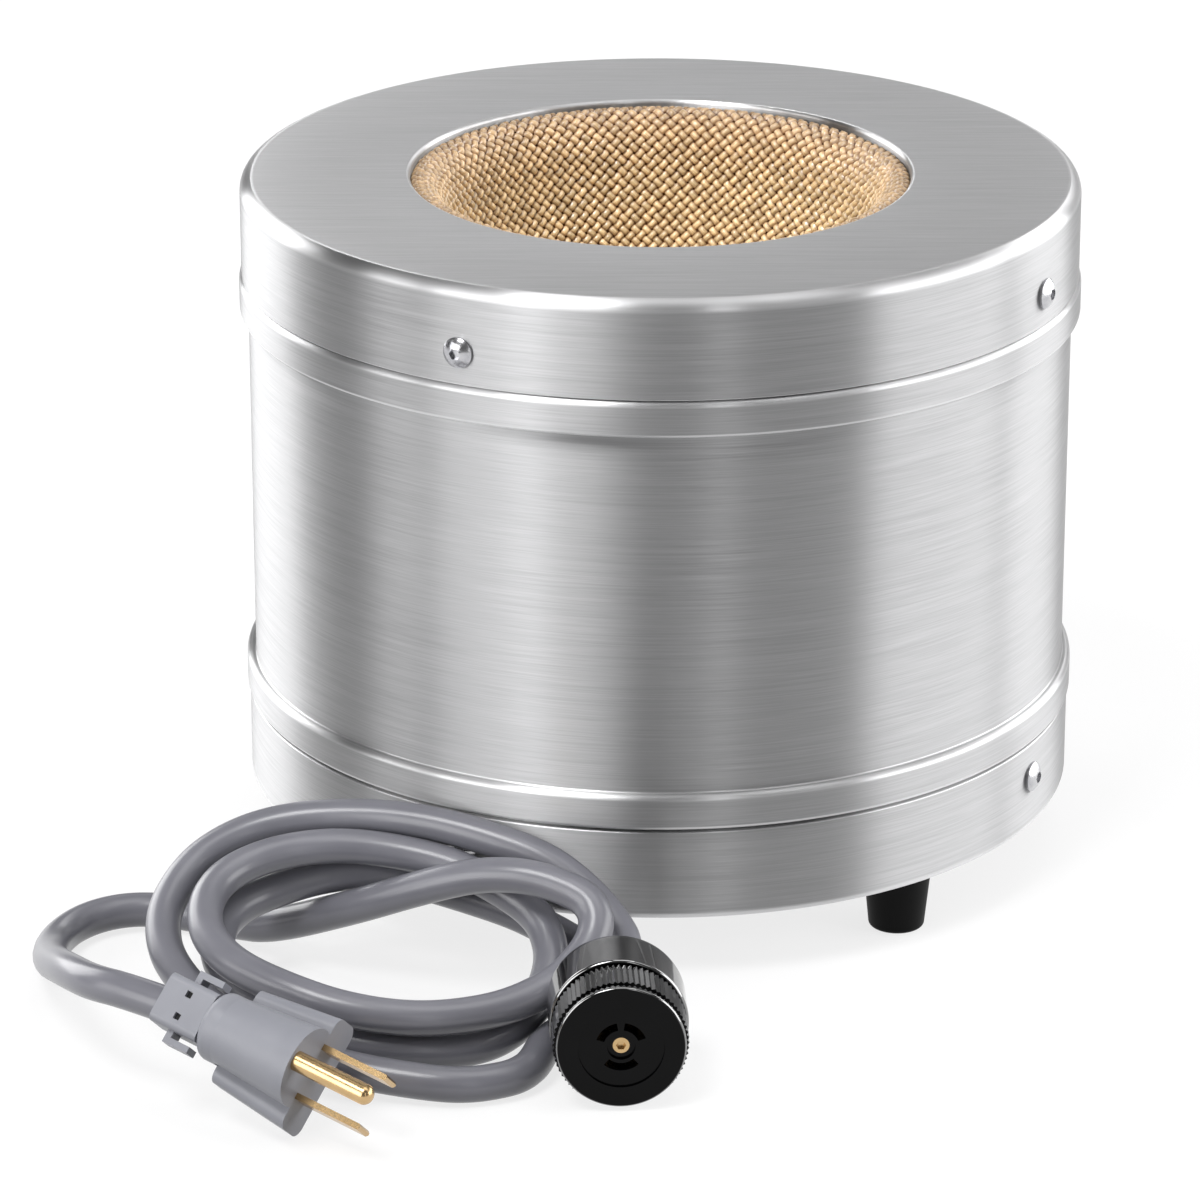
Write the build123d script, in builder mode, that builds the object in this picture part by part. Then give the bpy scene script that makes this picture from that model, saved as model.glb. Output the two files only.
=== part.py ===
"""Laboratory heating mantle for a 500 ml round-bottom flask, with its detachable power cord.

Origin: centre of the base, on the surface that the feet stand on.  +Z up, the inlet faces +Y.
"""

import os
from math import cos, pi, radians, sin, sqrt, tan

from build123d import *

# ------------------------------------------------------------------ driving sizes, millimetres
cover_radius = 105.0        # outside of both covers
sheet = 1.4                 # aluminium sheet of the covers and the body
cover_fit = 0.2             # radial gap between a cover's skirt and the body
foot_height = 16.0
housing_height = 158.0      # underside of the bottom cover to the top face
top_skirt = 24.8            # height of the top cover's skirt
bottom_skirt = 23.2
shoulder_radius = 3.5       # rounded rim of the top cover
pan_radius = 2.2            # rounded edge of the bottom cover
opening_radius = 62.5
lip_radius = 2.4            # rolled edge round the opening
lip_depth = 3.4

bead_height = 9.0           # the two beads rolled into the body
bead_projection = 2.2
bead_edge_radius = 1.6
lower_seam = 0.7            # gap between the bottom cover and the lower bead

cover_screw_azimuths = (-27.5, 62.5, 152.5, 242.5)   # degrees from -Y towards +X
top_screw_drop = 16.5       # below the top face
bottom_screw_rise = 14.3    # above the bottom cover's underside
screw_radius = 2.0
screw_length = 8.0
screw_head_radius = 3.8
screw_head_height = 2.2
screw_drive_radius = 1.5    # six-sided driver recess
screw_drive_depth = 1.2
head_rim_share = 0.3        # of the head's height, at its rim
drive_share = 0.45          # widest recess, as a share of the head's radius
drive_depth_share = 0.55    # deepest recess, as a share of the head's height
hole_clearance = 0.2

foot_inset = 12.8           # from the covers' outside to a foot's axis
foot_azimuths = (39.5, -80.5, 159.5)
foot_top_radius = 8.5
foot_bottom_radius = 6.85
foot_edge_radius = 1.2
foot_recess_radius = 4.9
foot_recess_depth = 7.0
washer_radius = 4.5
washer_thickness = 0.8
nut_across_flats = 7.0
nut_height = 3.2
foot_screw_head_height = 2.4
foot_screw_overhang = 1.2   # thread that shows above the nut

flask_radius = 52.5         # 500 ml flask
flask_clearance = 1.0
lip_roll = 9.0              # radius of the cloth's rounded lip
cloth_gap = 0.3             # between the cover's lip and the cloth
cloth_thickness = 2.2
cloth_flange_radius = 72.0  # hidden edge of the cloth, under the cover
weave_courses = 20
weave_depth = 0.7
element_radius = 0.8        # stitched resistance wire
element_clearance = 0.1
element_latitudes = (4, 17, 30, 43, 56, 69)   # degrees below the bowl's equator
element_gap = 15.0          # degrees left open for the return leg
element_end_latitude = 80.0
backing_thickness = 1.8
backing_hole_radius = 12.5
wool_clearance = 0.3
wool_floor = 5.9            # wool between the bowl and the joint of the two blocks
wool_edge = 1.0
pocket_clearance = 2.0      # round the fasteners that reach into the wool
inlet_pocket_clearance = 3.0

blade_circle = 5.1          # mean radius of the three curved blades
blade_thickness = 1.3
blade_spans = {"live": (20, 62), "neutral": (100, 62), "ground": (228, 84)}
blade_length = 9.0
blade_embed = 3.0           # root of a blade in the inlet's floor
slot_clearance = 0.3
inlet_rise = 0.8            # gap between the lower bead and the inlet's flange
inlet_flange_height = 52.0
inlet_flange_width = 41.0
inlet_flange = 3.5          # how far the flange stands off the body
inlet_edge = 0.8
flange_seat = 0.05
inlet_cup_depth = 11.0
inlet_wall = 2.0
inlet_depth = 20.0          # how far the inlet reaches inside the body's surface
inlet_screw_spacing = 45.0
inlet_screw_radius = 1.75
inlet_screw_length = 9.5
inlet_nut_across_flats = 6.0
inlet_nut_height = 2.8
terminal_circle = 9.0
terminal_screw_radius = 1.4
terminal_head_radius = 2.8
terminal_head_height = 1.8
terminal_depth = 5.0
lead_radius = 1.2
lead_bend = 5.0
lead_end_gap = 0.2
wire_share = 0.45           # of the terminals' circle, where the wires go in
lug_radius = 3.8
lug_thickness = 0.8

cord_radius = 4.3
run_share = 0.45            # of the shorter run, taken up by a corner's arc
clamp_run = 12.0            # straight cord behind the plug's clamp
connector_run = 5.0         # straight cord behind the connector's neck
cord_end_gap = 0.1
plug_lead_route = [
    (-127.1, -79.0, 4.5),
    (-138.0, -79.0, 4.5),
    (-147.5, -87.5, 4.5),
    (-149.5, -98.5, 5.0),
    (-144.5, -112.0, 8.0),
    (-137.5, -131.0, 14.0),
    (-130.0, -149.0, 20.0),
]
coil_corners = [
    (4, -104), (-62, -80), (-96, -60), (-126.9, -62), (-126.9, -122),
    (-100, -162), (-66, -178), (-38, -178), (2, -128),
]
coil_corner_radius = 11.0
coil_band = 17.0            # width of the bundle of turns
coil_front_height = 25.0
coil_rear_rise = 0.16       # how steeply the turns climb towards the housing
coil_top_edge = 3.0
coil_clearance = 0.5
crossing_ends = [(-34, -112, 26), (-112, -104, 11)]

connector_face = (-10.2, -177.3, 16.4)
connector_heading = (0.042, -0.999, 0.0)
face_radius = 15.2
face_rim_depth = 2.2
face_rim_radius = 0.6
face_recess_radius = 10.1
face_recess_depth = 0.6
hub_radius = 3.3
hub_depth = 0.8
flute_radius = 15.9
flute_depth = 0.5
flute_count = 72
flute_length = 9.3
groove_radius = 14.6
groove_length = 1.1
cap_radius = 16.4
cap_length = 18.4
cap_front_radius = 0.8
cap_shoulder = 5.5
neck_radius = 6.6
neck_length = 4.0
cord_socket = 10.0
contact_depth = 10.0
contact_thickness = 1.0
brass_screw_radius = 1.95
brass_drive_radius = 1.2

plug_face = (-80.7, -189.6, 15.5)
plug_across = (0.478, 0.474, 0.739)
plug_heading = (0.8325, -0.5165, -0.2006)
blade_spacing = 12.7        # standard 15 A grounding plug
blade_width = 6.35
blade_stock = 1.5
blade_reach = 17.9
blade_root = 8.0
blade_tip = 0.5
pin_radius = 2.4
pin_offset = 11.9
pin_reach = 21.0
pin_tip_radius = 2.15
dome_radius = 9.8
dome_offset = 5.7
wing_span = 28.6
wing_depth = 11.5
wing_offset = -2.9
wing_corner = 3.0
plug_rear_scale = 0.84
wing_length = 21.5
collar_radius = 8.4
collar_offset = 3.0
collar_length = 5.5
collar_edge = 2.2
clamp_width = 12.4
clamp_height = 11.6
clamp_length = 13.0
clamp_corner = 1.8
clamp_window = 1.6
clamp_window_spacing = 5.7
clamp_window_depth = 1.2
hook_reach = 2.3
hook_thickness = 1.6
hook_length = 7.0
hook_height = 4.5
hook_rise = 1.0

# ------------------------------------------------------------------ derived sizes and frames
base_z = foot_height
top_z = base_z + housing_height
foot_pitch_radius = cover_radius - foot_inset
body_radius = cover_radius - sheet - cover_fit
body_inner_radius = body_radius - sheet
bead_radius = body_radius + bead_projection
cover_inner_radius = cover_radius - sheet
pan_floor_z = base_z + sheet
skirt_z = top_z - top_skirt
lower_bead_z = base_z + bottom_skirt + lower_seam
upper_bead_z = skirt_z - bead_height
top_screw_z = top_z - top_screw_drop
bottom_screw_z = base_z + bottom_screw_rise

cloth_top_z = top_z - lip_depth - cloth_gap
bowl_z = cloth_top_z - lip_roll
bowl_radius = flask_radius + flask_clearance
roll_radius = bowl_radius + lip_roll
element_sphere = bowl_radius + cloth_thickness + element_radius + element_clearance
backing_offset = element_sphere + element_radius + element_clearance - bowl_radius
wool_offset = backing_offset + backing_thickness + element_clearance
wool_radius = body_inner_radius - wool_clearance
wool_bowl_z = bowl_z - bowl_radius - wool_offset
wool_split_z = wool_bowl_z - wool_floor
inlet_height = lower_bead_z + bead_height + inlet_rise + inlet_flange_height / 2
inlet_cup_radius = flute_radius + 2 * hole_clearance
inlet_barrel_radius = inlet_cup_radius + inlet_wall


def radial_plane(radius, azimuth, height):
    """Plane on the housing that faces outwards; its Y axis points up."""
    angle = radians(azimuth)
    outwards = (sin(angle), -cos(angle), 0)
    origin = (radius * outwards[0], radius * outwards[1], height)
    return Plane(origin=origin, x_dir=(cos(angle), sin(angle), 0), z_dir=outwards)


def meridian_plane(degrees_from_x):
    """Upright plane through the Z axis: local X points outwards and local Y up."""
    angle = radians(degrees_from_x)
    return Plane(origin=(0, 0, 0), x_dir=(cos(angle), sin(angle), 0), z_dir=(sin(angle), -cos(angle), 0))


def finish(builder, name):
    """Labels a finished piece and writes its STEP file."""
    builder.part.label = name
    export_step(builder.part, f"parts/{name}.step")


def cover_screw_planes(radius, height):
    """The four planes round a cover's skirt at that radius and height."""
    return [radial_plane(radius, azimuth, height) for azimuth in cover_screw_azimuths]


def foot_points(height):
    """The three points of the feet's pitch circle at that height."""
    return [radial_plane(foot_pitch_radius, azimuth, height).origin for azimuth in foot_azimuths]


def revolved_sheet(points, radii):
    """Sheet of even thickness: its outside follows the points, and it is turned about Z."""
    with BuildPart() as shell:
        with BuildSketch(Plane.XZ):
            with BuildLine():
                FilletPolyline(*points, radius=radii)
                offset(amount=sheet, side=Side.LEFT)
            make_face()
        revolve(axis=Axis.Z)
    return shell.part


def button_screw(radius, length, head_radius, head_height):
    """Screw along +Z with a domed head that sits on Z = 0 and a six-sided driver recess."""
    with BuildPart() as screw:
        with BuildSketch(Plane.XZ):
            with BuildLine():
                dome = TangentArc((0, head_height), (head_radius, head_rim_share * head_height), tangent=(1, 0))
                Polyline(dome @ 0, (0, -length), (radius, -length), (radius, 0), (head_radius, 0), dome @ 1)
            make_face()
        revolve(axis=Axis.Z)
        with BuildSketch(Plane.XY.offset(head_height)):
            RegularPolygon(min(screw_drive_radius, head_radius * drive_share), 6)
        extrude(amount=-min(screw_drive_depth, head_height * drive_depth_share), mode=Mode.SUBTRACT)
    return screw.part


def hex_nut(across_flats, height, bore_radius):
    """Hexagon nut that sits on Z = 0."""
    with BuildPart() as nut:
        with BuildSketch():
            RegularPolygon(across_flats / 2, 6, major_radius=False)
            Circle(bore_radius, mode=Mode.SUBTRACT)
        extrude(amount=height)
    return nut.part


def bowl_edges(depth, flange_radius):
    """Profile of one layer's inner side, from its flange's edge to the bowl's bottom."""
    flange_z = bowl_z + lip_roll - depth
    Line((flange_radius, flange_z), (roll_radius, flange_z))
    CenterArc((roll_radius, bowl_z), lip_roll - depth, 90, 90)
    CenterArc((0, bowl_z), bowl_radius + depth, 0, -90)


def woven_edge():
    """Points down the cloth's face, from the lip to the bowl's bottom: one crest and one valley a course."""
    roll_arc = lip_roll * pi / 2
    bowl_arc = bowl_radius * pi / 2
    steps = 2 * weave_courses
    points = []
    for step in range(steps + 1):
        travelled = (roll_arc + bowl_arc) * step / steps
        sink = weave_depth * (step % 2)
        if travelled < roll_arc:
            angle = pi / 2 + travelled / lip_roll
            reach = lip_roll - sink
            points.append((roll_radius + reach * cos(angle), bowl_z + reach * sin(angle)))
        else:
            angle = (travelled - roll_arc) / bowl_radius
            reach = bowl_radius + sink
            points.append((reach * cos(angle), bowl_z - reach * sin(angle)))
    points[-1] = (0, points[-1][1])
    return points


def corner_radii(points):
    """Centre line of a cord: straight runs joined by the largest tangent arcs that they allow."""
    corners = [Vector(*point) for point in points]
    radii = []
    for before, corner, after in zip(corners, corners[1:], corners[2:]):
        turn = radians((corner - before).get_angle(after - corner))
        shorter = min((corner - before).length, (after - corner).length)
        radii.append(run_share * shorter / tan(turn / 2))
    return radii


os.makedirs("parts", exist_ok=True)

# ------------------------------------------------------------------ housing
with BuildPart() as top_cover:
    add(
        revolved_sheet(
            [
                (cover_radius, skirt_z),
                (cover_radius, top_z),
                (opening_radius, top_z),
                (opening_radius, top_z - lip_depth),
            ],
            [shoulder_radius, lip_radius],
        )
    )
    with Locations(*cover_screw_planes(cover_radius, top_screw_z)):
        Cylinder(screw_radius + hole_clearance, 4 * sheet, mode=Mode.SUBTRACT)
finish(top_cover, "top_cover")

inlet_plane = radial_plane(body_radius, 180, inlet_height)
inlet_screw_points = [(0, inlet_screw_spacing / 2), (0, -inlet_screw_spacing / 2)]

with BuildPart() as body_shell:
    add(
        revolved_sheet(
            [
                (body_radius, base_z + pan_radius),
                (body_radius, lower_bead_z),
                (bead_radius, lower_bead_z),
                (bead_radius, lower_bead_z + bead_height),
                (body_radius, lower_bead_z + bead_height),
                (body_radius, upper_bead_z),
                (bead_radius, upper_bead_z),
                (bead_radius, upper_bead_z + bead_height),
                (body_radius, upper_bead_z + bead_height),
                (body_radius, top_z - shoulder_radius),
            ],
            [cover_fit, bead_edge_radius, bead_edge_radius, cover_fit] * 2,
        )
    )
    for height in (top_screw_z, bottom_screw_z):
        with Locations(*cover_screw_planes(body_radius, height)):
            Cylinder(screw_radius + hole_clearance / 2, 4 * sheet, mode=Mode.SUBTRACT)
    with BuildSketch(inlet_plane.offset(sheet)):
        Circle(inlet_barrel_radius + hole_clearance)
        with Locations(*inlet_screw_points):
            Circle(inlet_screw_radius + hole_clearance)
    extrude(amount=-4 * sheet, mode=Mode.SUBTRACT)
finish(body_shell, "body_shell")

with BuildPart() as bottom_cover:
    add(
        revolved_sheet(
            [(0, base_z), (cover_radius, base_z), (cover_radius, base_z + bottom_skirt)],
            [pan_radius],
        )
    )
    with Locations(*cover_screw_planes(cover_radius, bottom_screw_z)):
        Cylinder(screw_radius + hole_clearance, 4 * sheet, mode=Mode.SUBTRACT)
    with Locations(*foot_points(base_z)):
        Cylinder(screw_radius + hole_clearance, 4 * sheet, mode=Mode.SUBTRACT)
finish(bottom_cover, "bottom_cover")

cover_screw = button_screw(screw_radius, screw_length, screw_head_radius, screw_head_height)
for name, height in (("top_cover_screws", top_screw_z), ("bottom_cover_screws", bottom_screw_z)):
    with BuildPart() as cover_screws:
        with Locations(*cover_screw_planes(cover_radius, height)):
            add(cover_screw)
    finish(cover_screws, name)

# ------------------------------------------------------------------ feet and their fasteners
for number, point in enumerate(foot_points(0), start=1):
    with BuildPart() as rubber_foot:
        with BuildSketch(Plane.XY.offset(0)):
            with Locations(point):
                Circle(foot_bottom_radius)
        with BuildSketch(Plane.XY.offset(foot_height)):
            with Locations(point):
                Circle(foot_top_radius)
        loft()
        fillet(rubber_foot.edges().group_by(Axis.Z)[0], foot_edge_radius)
        with BuildSketch(Plane.XY):
            with Locations(point):
                Circle(foot_recess_radius)
        extrude(amount=foot_recess_depth, mode=Mode.SUBTRACT)
        with BuildSketch(Plane.XY):
            with Locations(point):
                Circle(screw_radius + hole_clearance)
        extrude(amount=foot_height, mode=Mode.SUBTRACT)
    finish(rubber_foot, f"rubber_foot_{number}")

foot_head_z = foot_recess_depth - washer_thickness
foot_screw_length = pan_floor_z + nut_height + foot_screw_overhang - foot_head_z
foot_screw = button_screw(screw_radius, foot_screw_length, screw_head_radius, foot_screw_head_height)
with BuildPart() as foot_screws:
    with Locations(*foot_points(foot_head_z)):
        add(foot_screw.rotate(Axis.X, 180))
finish(foot_screws, "foot_screws")

with BuildPart() as foot_washers:
    with BuildSketch(Plane.XY.offset(foot_head_z)):
        with Locations(*foot_points(0)):
            Circle(washer_radius)
            Circle(screw_radius + hole_clearance, mode=Mode.SUBTRACT)
    extrude(amount=washer_thickness)
finish(foot_washers, "foot_washers")

with BuildPart() as foot_nuts:
    with Locations(*foot_points(pan_floor_z)):
        add(hex_nut(nut_across_flats, nut_height, screw_radius))
finish(foot_nuts, "foot_nuts")

# ------------------------------------------------------------------ well: woven liner, element, backing, wool
with BuildPart() as woven_liner:
    with BuildSketch(Plane.XZ):
        with BuildLine():
            face = woven_edge()
            Polyline((cloth_flange_radius, cloth_top_z), *face)
            bowl_edges(cloth_thickness, cloth_flange_radius)
            Line((cloth_flange_radius, cloth_top_z), (cloth_flange_radius, cloth_top_z - cloth_thickness))
            Line(face[-1], (0, bowl_z - bowl_radius - cloth_thickness))
        make_face()
    revolve(axis=Axis.Z)
finish(woven_liner, "woven_liner")

ring_end = 360 - element_gap
return_azimuth = -element_gap / 2
last_ring = len(element_latitudes) - 1


def on_sphere(latitude):
    """Radius and height of a point on the element's sphere, so many degrees below its equator."""
    angle = radians(latitude)
    return element_sphere * cos(angle), bowl_z - element_sphere * sin(angle)


def meridian_leg(azimuth, upper, lower):
    """Stretch of wire that runs down the sphere from one latitude to another."""
    plane = meridian_plane(azimuth)
    with BuildPart() as leg:
        section = Plane(
            origin=plane.from_local_coords((*on_sphere(upper), 0)),
            x_dir=plane.from_local_coords((cos(radians(upper)), -sin(radians(upper)), 0)),
            z_dir=(0, 0, 1) if upper == 0 else plane.from_local_coords((sin(radians(upper)), cos(radians(upper)), 0)),
        )
        with BuildSketch(section):
            Circle(element_radius)
        revolve(axis=Axis((0, 0, bowl_z), -plane.z_dir), revolution_arc=lower - upper)
    return leg.part


with BuildPart() as heating_element:
    for index, latitude in enumerate(element_latitudes):
        start = {0: return_azimuth, last_ring: 180}.get(index, 0)
        with BuildSketch(meridian_plane(start)):
            with Locations(on_sphere(latitude)):
                Circle(element_radius)
        revolve(axis=Axis.Z, revolution_arc=ring_end - start)
        if index < last_ring:
            link_azimuth = ring_end if index % 2 == 0 else 0
            add(meridian_leg(link_azimuth, latitude, element_latitudes[index + 1]))
    add(meridian_leg(return_azimuth, element_latitudes[0], element_end_latitude))
    add(meridian_leg(180, element_latitudes[-1], element_end_latitude))
finish(heating_element, "heating_element")

with BuildPart() as backing_cloth:
    with BuildSketch(Plane.XZ):
        with BuildLine():
            bowl_edges(backing_offset, cloth_flange_radius)
            bowl_edges(backing_offset + backing_thickness, cloth_flange_radius)
            flange_z = bowl_z + lip_roll - backing_offset
            Line((cloth_flange_radius, flange_z), (cloth_flange_radius, flange_z - backing_thickness))
            bottom_z = bowl_z - bowl_radius - backing_offset
            Line((0, bottom_z), (0, bottom_z - backing_thickness))
        make_face()
    revolve(axis=Axis.Z)
    with BuildSketch(Plane.XY.offset(base_z)):
        Circle(backing_hole_radius)
    extrude(amount=bowl_z - base_z, mode=Mode.SUBTRACT)
finish(backing_cloth, "backing_cloth")

wool_top_z = top_z - sheet - wool_clearance
collar_flange_z = bowl_z + lip_roll - wool_offset
pocket_half_width = inlet_barrel_radius + inlet_pocket_clearance
pocket_reach = inlet_screw_spacing / 2 + lug_radius + pocket_clearance
pocket_floor_z = inlet_height - pocket_reach
screw_pocket = screw_length - (cover_radius - wool_radius) + pocket_clearance

with BuildPart() as insulation_collar:
    with BuildSketch(Plane.XZ):
        with BuildLine():
            recess_radius = cloth_flange_radius + wool_clearance
            bowl_edges(wool_offset, recess_radius)
            Polyline(
                (recess_radius, collar_flange_z),
                (recess_radius, wool_top_z),
                (wool_radius, wool_top_z),
                (wool_radius, wool_split_z),
                (0, wool_split_z),
                (0, wool_bowl_z),
            )
        make_face()
    revolve(axis=Axis.Z)
    with BuildSketch(Plane.XY.offset(wool_split_z)):
        Circle(backing_hole_radius)
    extrude(amount=bowl_z - wool_split_z, mode=Mode.SUBTRACT)
    with Locations(*cover_screw_planes(wool_radius, top_screw_z)):
        Cylinder(screw_radius + 2 * hole_clearance, 2 * screw_pocket, mode=Mode.SUBTRACT)
    with BuildSketch(Plane.XY.offset(wool_split_z)):
        with Locations((0, wool_radius)):
            Rectangle(2 * pocket_half_width, 2 * inlet_depth)
    extrude(amount=inlet_height + pocket_reach - wool_split_z, mode=Mode.SUBTRACT)
finish(insulation_collar, "insulation_collar")

with BuildPart() as insulation_base:
    with BuildSketch(Plane.XY.offset(pan_floor_z)):
        Circle(wool_radius)
    extrude(amount=wool_split_z - pan_floor_z)
    chamfer(insulation_base.edges().group_by(Axis.Z)[0], wool_edge)
    with BuildSketch(Plane.XY.offset(pan_floor_z)):
        with Locations(*foot_points(0)):
            Circle(nut_across_flats / 2 + pocket_clearance)
    extrude(amount=nut_height + foot_screw_overhang + pocket_clearance, mode=Mode.SUBTRACT)
    with Locations(*cover_screw_planes(wool_radius, bottom_screw_z)):
        Cylinder(screw_radius + 2 * hole_clearance, 2 * screw_pocket, mode=Mode.SUBTRACT)
    with BuildSketch(Plane.XY.offset(wool_split_z)):
        Rectangle(2 * pocket_half_width, cover_radius + backing_hole_radius, align=(Align.CENTER, Align.MIN))
        with Locations((0, -backing_hole_radius)):
            Rectangle(2 * pocket_half_width, backing_hole_radius, align=(Align.CENTER, Align.MIN))
    extrude(amount=-(wool_split_z - pocket_floor_z), mode=Mode.SUBTRACT)
finish(insulation_base, "insulation_base")

# ------------------------------------------------------------------ power inlet on the rear
def curved_blade(plane, name, thickness, near, far):
    """One curved blade, or the slot for it, from near to far along the plane's normal."""
    start, span = blade_spans[name]
    with BuildPart() as blade:
        with BuildSketch(plane.offset(near)):
            with BuildLine():
                outer = CenterArc((0, 0), blade_circle + thickness / 2, start, span)
                inner = CenterArc((0, 0), blade_circle - thickness / 2, start, span)
                Line(outer @ 0, inner @ 0)
                Line(outer @ 1, inner @ 1)
            make_face()
        extrude(amount=far - near)
    return blade.part


cup_floor = inlet_flange - inlet_cup_depth
inlet_terminal_angles = {"live": 150, "neutral": 30, "ground": 270}
terminal_points = {
    name: (terminal_circle * cos(radians(angle)), terminal_circle * sin(radians(angle)))
    for name, angle in inlet_terminal_angles.items()
}
wire_points = {
    name: (wire_share * x, wire_share * y) for name, (x, y) in terminal_points.items()
}

with BuildPart() as inlet_body:
    with BuildSketch(inlet_plane.offset(inlet_flange)):
        SlotOverall(inlet_flange_height, inlet_flange_width, rotation=90)
    extrude(amount=-3 * inlet_flange)
    with Locations((0, 0, inlet_height)):
        Cylinder(body_radius + flange_seat, 2 * inlet_flange_height, mode=Mode.SUBTRACT)
    fillet(inlet_body.faces().sort_by(Axis.Y)[-1].edges(), inlet_edge)
    with BuildSketch(inlet_plane.offset(inlet_flange)):
        Circle(inlet_barrel_radius)
    extrude(amount=-(inlet_flange + inlet_depth))
    with BuildSketch(inlet_plane.offset(inlet_flange)):
        Circle(inlet_cup_radius)
    extrude(amount=-inlet_cup_depth, mode=Mode.SUBTRACT)
    with Locations(inlet_plane.offset(inlet_flange)):
        with Locations(*inlet_screw_points):
            CounterSinkHole(inlet_screw_radius + hole_clearance, 2 * inlet_screw_radius, 4 * inlet_flange)
    with BuildSketch(inlet_plane.offset(-inlet_depth)):
        with Locations(*terminal_points.values()):
            Circle(terminal_screw_radius)
        with Locations(*wire_points.values()):
            Circle(lead_radius + slot_clearance)
    extrude(amount=terminal_depth, mode=Mode.SUBTRACT)
    for name in blade_spans:
        add(curved_blade(inlet_plane, name, blade_thickness, cup_floor - blade_embed, cup_floor), mode=Mode.SUBTRACT)
finish(inlet_body, "inlet_body")

for name in blade_spans:
    with BuildPart() as inlet_blade:
        add(curved_blade(inlet_plane, name, blade_thickness, cup_floor - blade_embed, cup_floor + blade_length))
    finish(inlet_blade, f"inlet_{name}_blade")

with BuildPart() as inlet_screws:
    with Locations(inlet_plane.offset(inlet_flange)):
        with Locations(*inlet_screw_points):
            Cone(
                inlet_screw_radius,
                2 * inlet_screw_radius,
                inlet_screw_radius,
                align=(Align.CENTER, Align.CENTER, Align.MAX),
            )
            Cylinder(
                inlet_screw_radius,
                inlet_screw_length,
                align=(Align.CENTER, Align.CENTER, Align.MAX),
            )
    with BuildSketch(inlet_plane.offset(inlet_flange)):
        with Locations(*inlet_screw_points):
            RegularPolygon(screw_drive_radius, 6)
    extrude(amount=-screw_drive_depth, mode=Mode.SUBTRACT)
finish(inlet_screws, "inlet_screws")

wall_seat = body_radius - sqrt(body_inner_radius**2 - lug_radius**2)
with BuildPart() as ground_lug:
    with BuildSketch(inlet_plane.offset(-wall_seat)):
        with Locations(inlet_screw_points[1]):
            Circle(lug_radius)
            Circle(inlet_screw_radius + hole_clearance, mode=Mode.SUBTRACT)
    extrude(amount=-lug_thickness)
finish(ground_lug, "ground_lug")

nut = hex_nut(inlet_nut_across_flats, inlet_nut_height, inlet_screw_radius).rotate(Axis.X, 180)
with BuildPart() as inlet_nuts:
    with Locations(inlet_plane.offset(-wall_seat)):
        with Locations(inlet_screw_points[0]):
            add(nut)
    with Locations(inlet_plane.offset(-wall_seat - lug_thickness)):
        with Locations(inlet_screw_points[1]):
            add(nut)
finish(inlet_nuts, "inlet_nuts")

terminal_screw = button_screw(
    terminal_screw_radius, terminal_depth, terminal_head_radius, terminal_head_height
).rotate(Axis.X, 180)
with BuildPart() as inlet_terminal_screws:
    with Locations(inlet_plane.offset(-inlet_depth)):
        with Locations(*terminal_points.values()):
            add(terminal_screw)
finish(inlet_terminal_screws, "inlet_terminal_screws")

# ------------------------------------------------------------------ inner leads
def insulated_lead(points):
    """Round insulated wire along straight runs with equal bends."""
    with BuildPart() as lead:
        with BuildLine() as route:
            FilletPolyline(*points, radius=lead_bend)
        with BuildSketch(Plane(origin=route.line @ 0, z_dir=route.line % 0)):
            Circle(lead_radius)
        sweep(path=route.line)
    return lead.part


def inlet_point(local_xy, depth):
    """A point behind the inlet, so deep inside the body's surface."""
    return inlet_plane.offset(-depth).from_local_coords((*local_xy, 0))


lead_depth = inlet_depth - terminal_depth + lead_end_gap
end_radius, end_z = on_sphere(element_end_latitude)
lead_start_z = end_z - element_radius - element_clearance
lead_run_z = wool_split_z - 2 * lead_bend
for name, azimuth in (("live", return_azimuth), ("neutral", 180)):
    x, y = end_radius * cos(radians(azimuth)), end_radius * sin(radians(azimuth))
    socket = inlet_point(wire_points[name], lead_depth)
    with BuildPart() as element_lead:
        add(
            insulated_lead(
                [
                    (x, y, lead_start_z),
                    (x, y, lead_run_z),
                    socket - Vector(0, 3 * lead_bend, 0),
                    socket,
                ]
            )
        )
    finish(element_lead, f"{name}_lead")

ground_socket = inlet_point(wire_points["ground"], lead_depth)
lug_end = inlet_point(inlet_screw_points[1], wall_seat + lug_thickness + inlet_nut_height + lead_radius)
with BuildPart() as ground_lead:
    add(
        insulated_lead(
            [
                ground_socket,
                ground_socket - Vector(0, 3 * lead_bend, 0),
                (lug_end.X, ground_socket.Y - 3 * lead_bend, lug_end.Z),
                lug_end - Vector(0, lead_radius + hole_clearance, 0),
            ]
        )
    )
finish(ground_lead, "ground_lead")

# ------------------------------------------------------------------ cord: connector end
connector = Plane(
    origin=connector_face,
    x_dir=(-connector_heading[1], connector_heading[0], 0),
    z_dir=connector_heading,
)
flute_start = -face_rim_depth - flute_length
cap_front = flute_start - groove_length
cap_rear = cap_front - cap_length
neck_end = cap_rear - neck_length


def disc(plane, radius, near, far):
    """Round solid on the plane's axis, from near to far along its normal."""
    with BuildPart() as round_solid:
        with BuildSketch(plane.offset(near)):
            Circle(radius)
        extrude(amount=far - near)
    return round_solid.part


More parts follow.
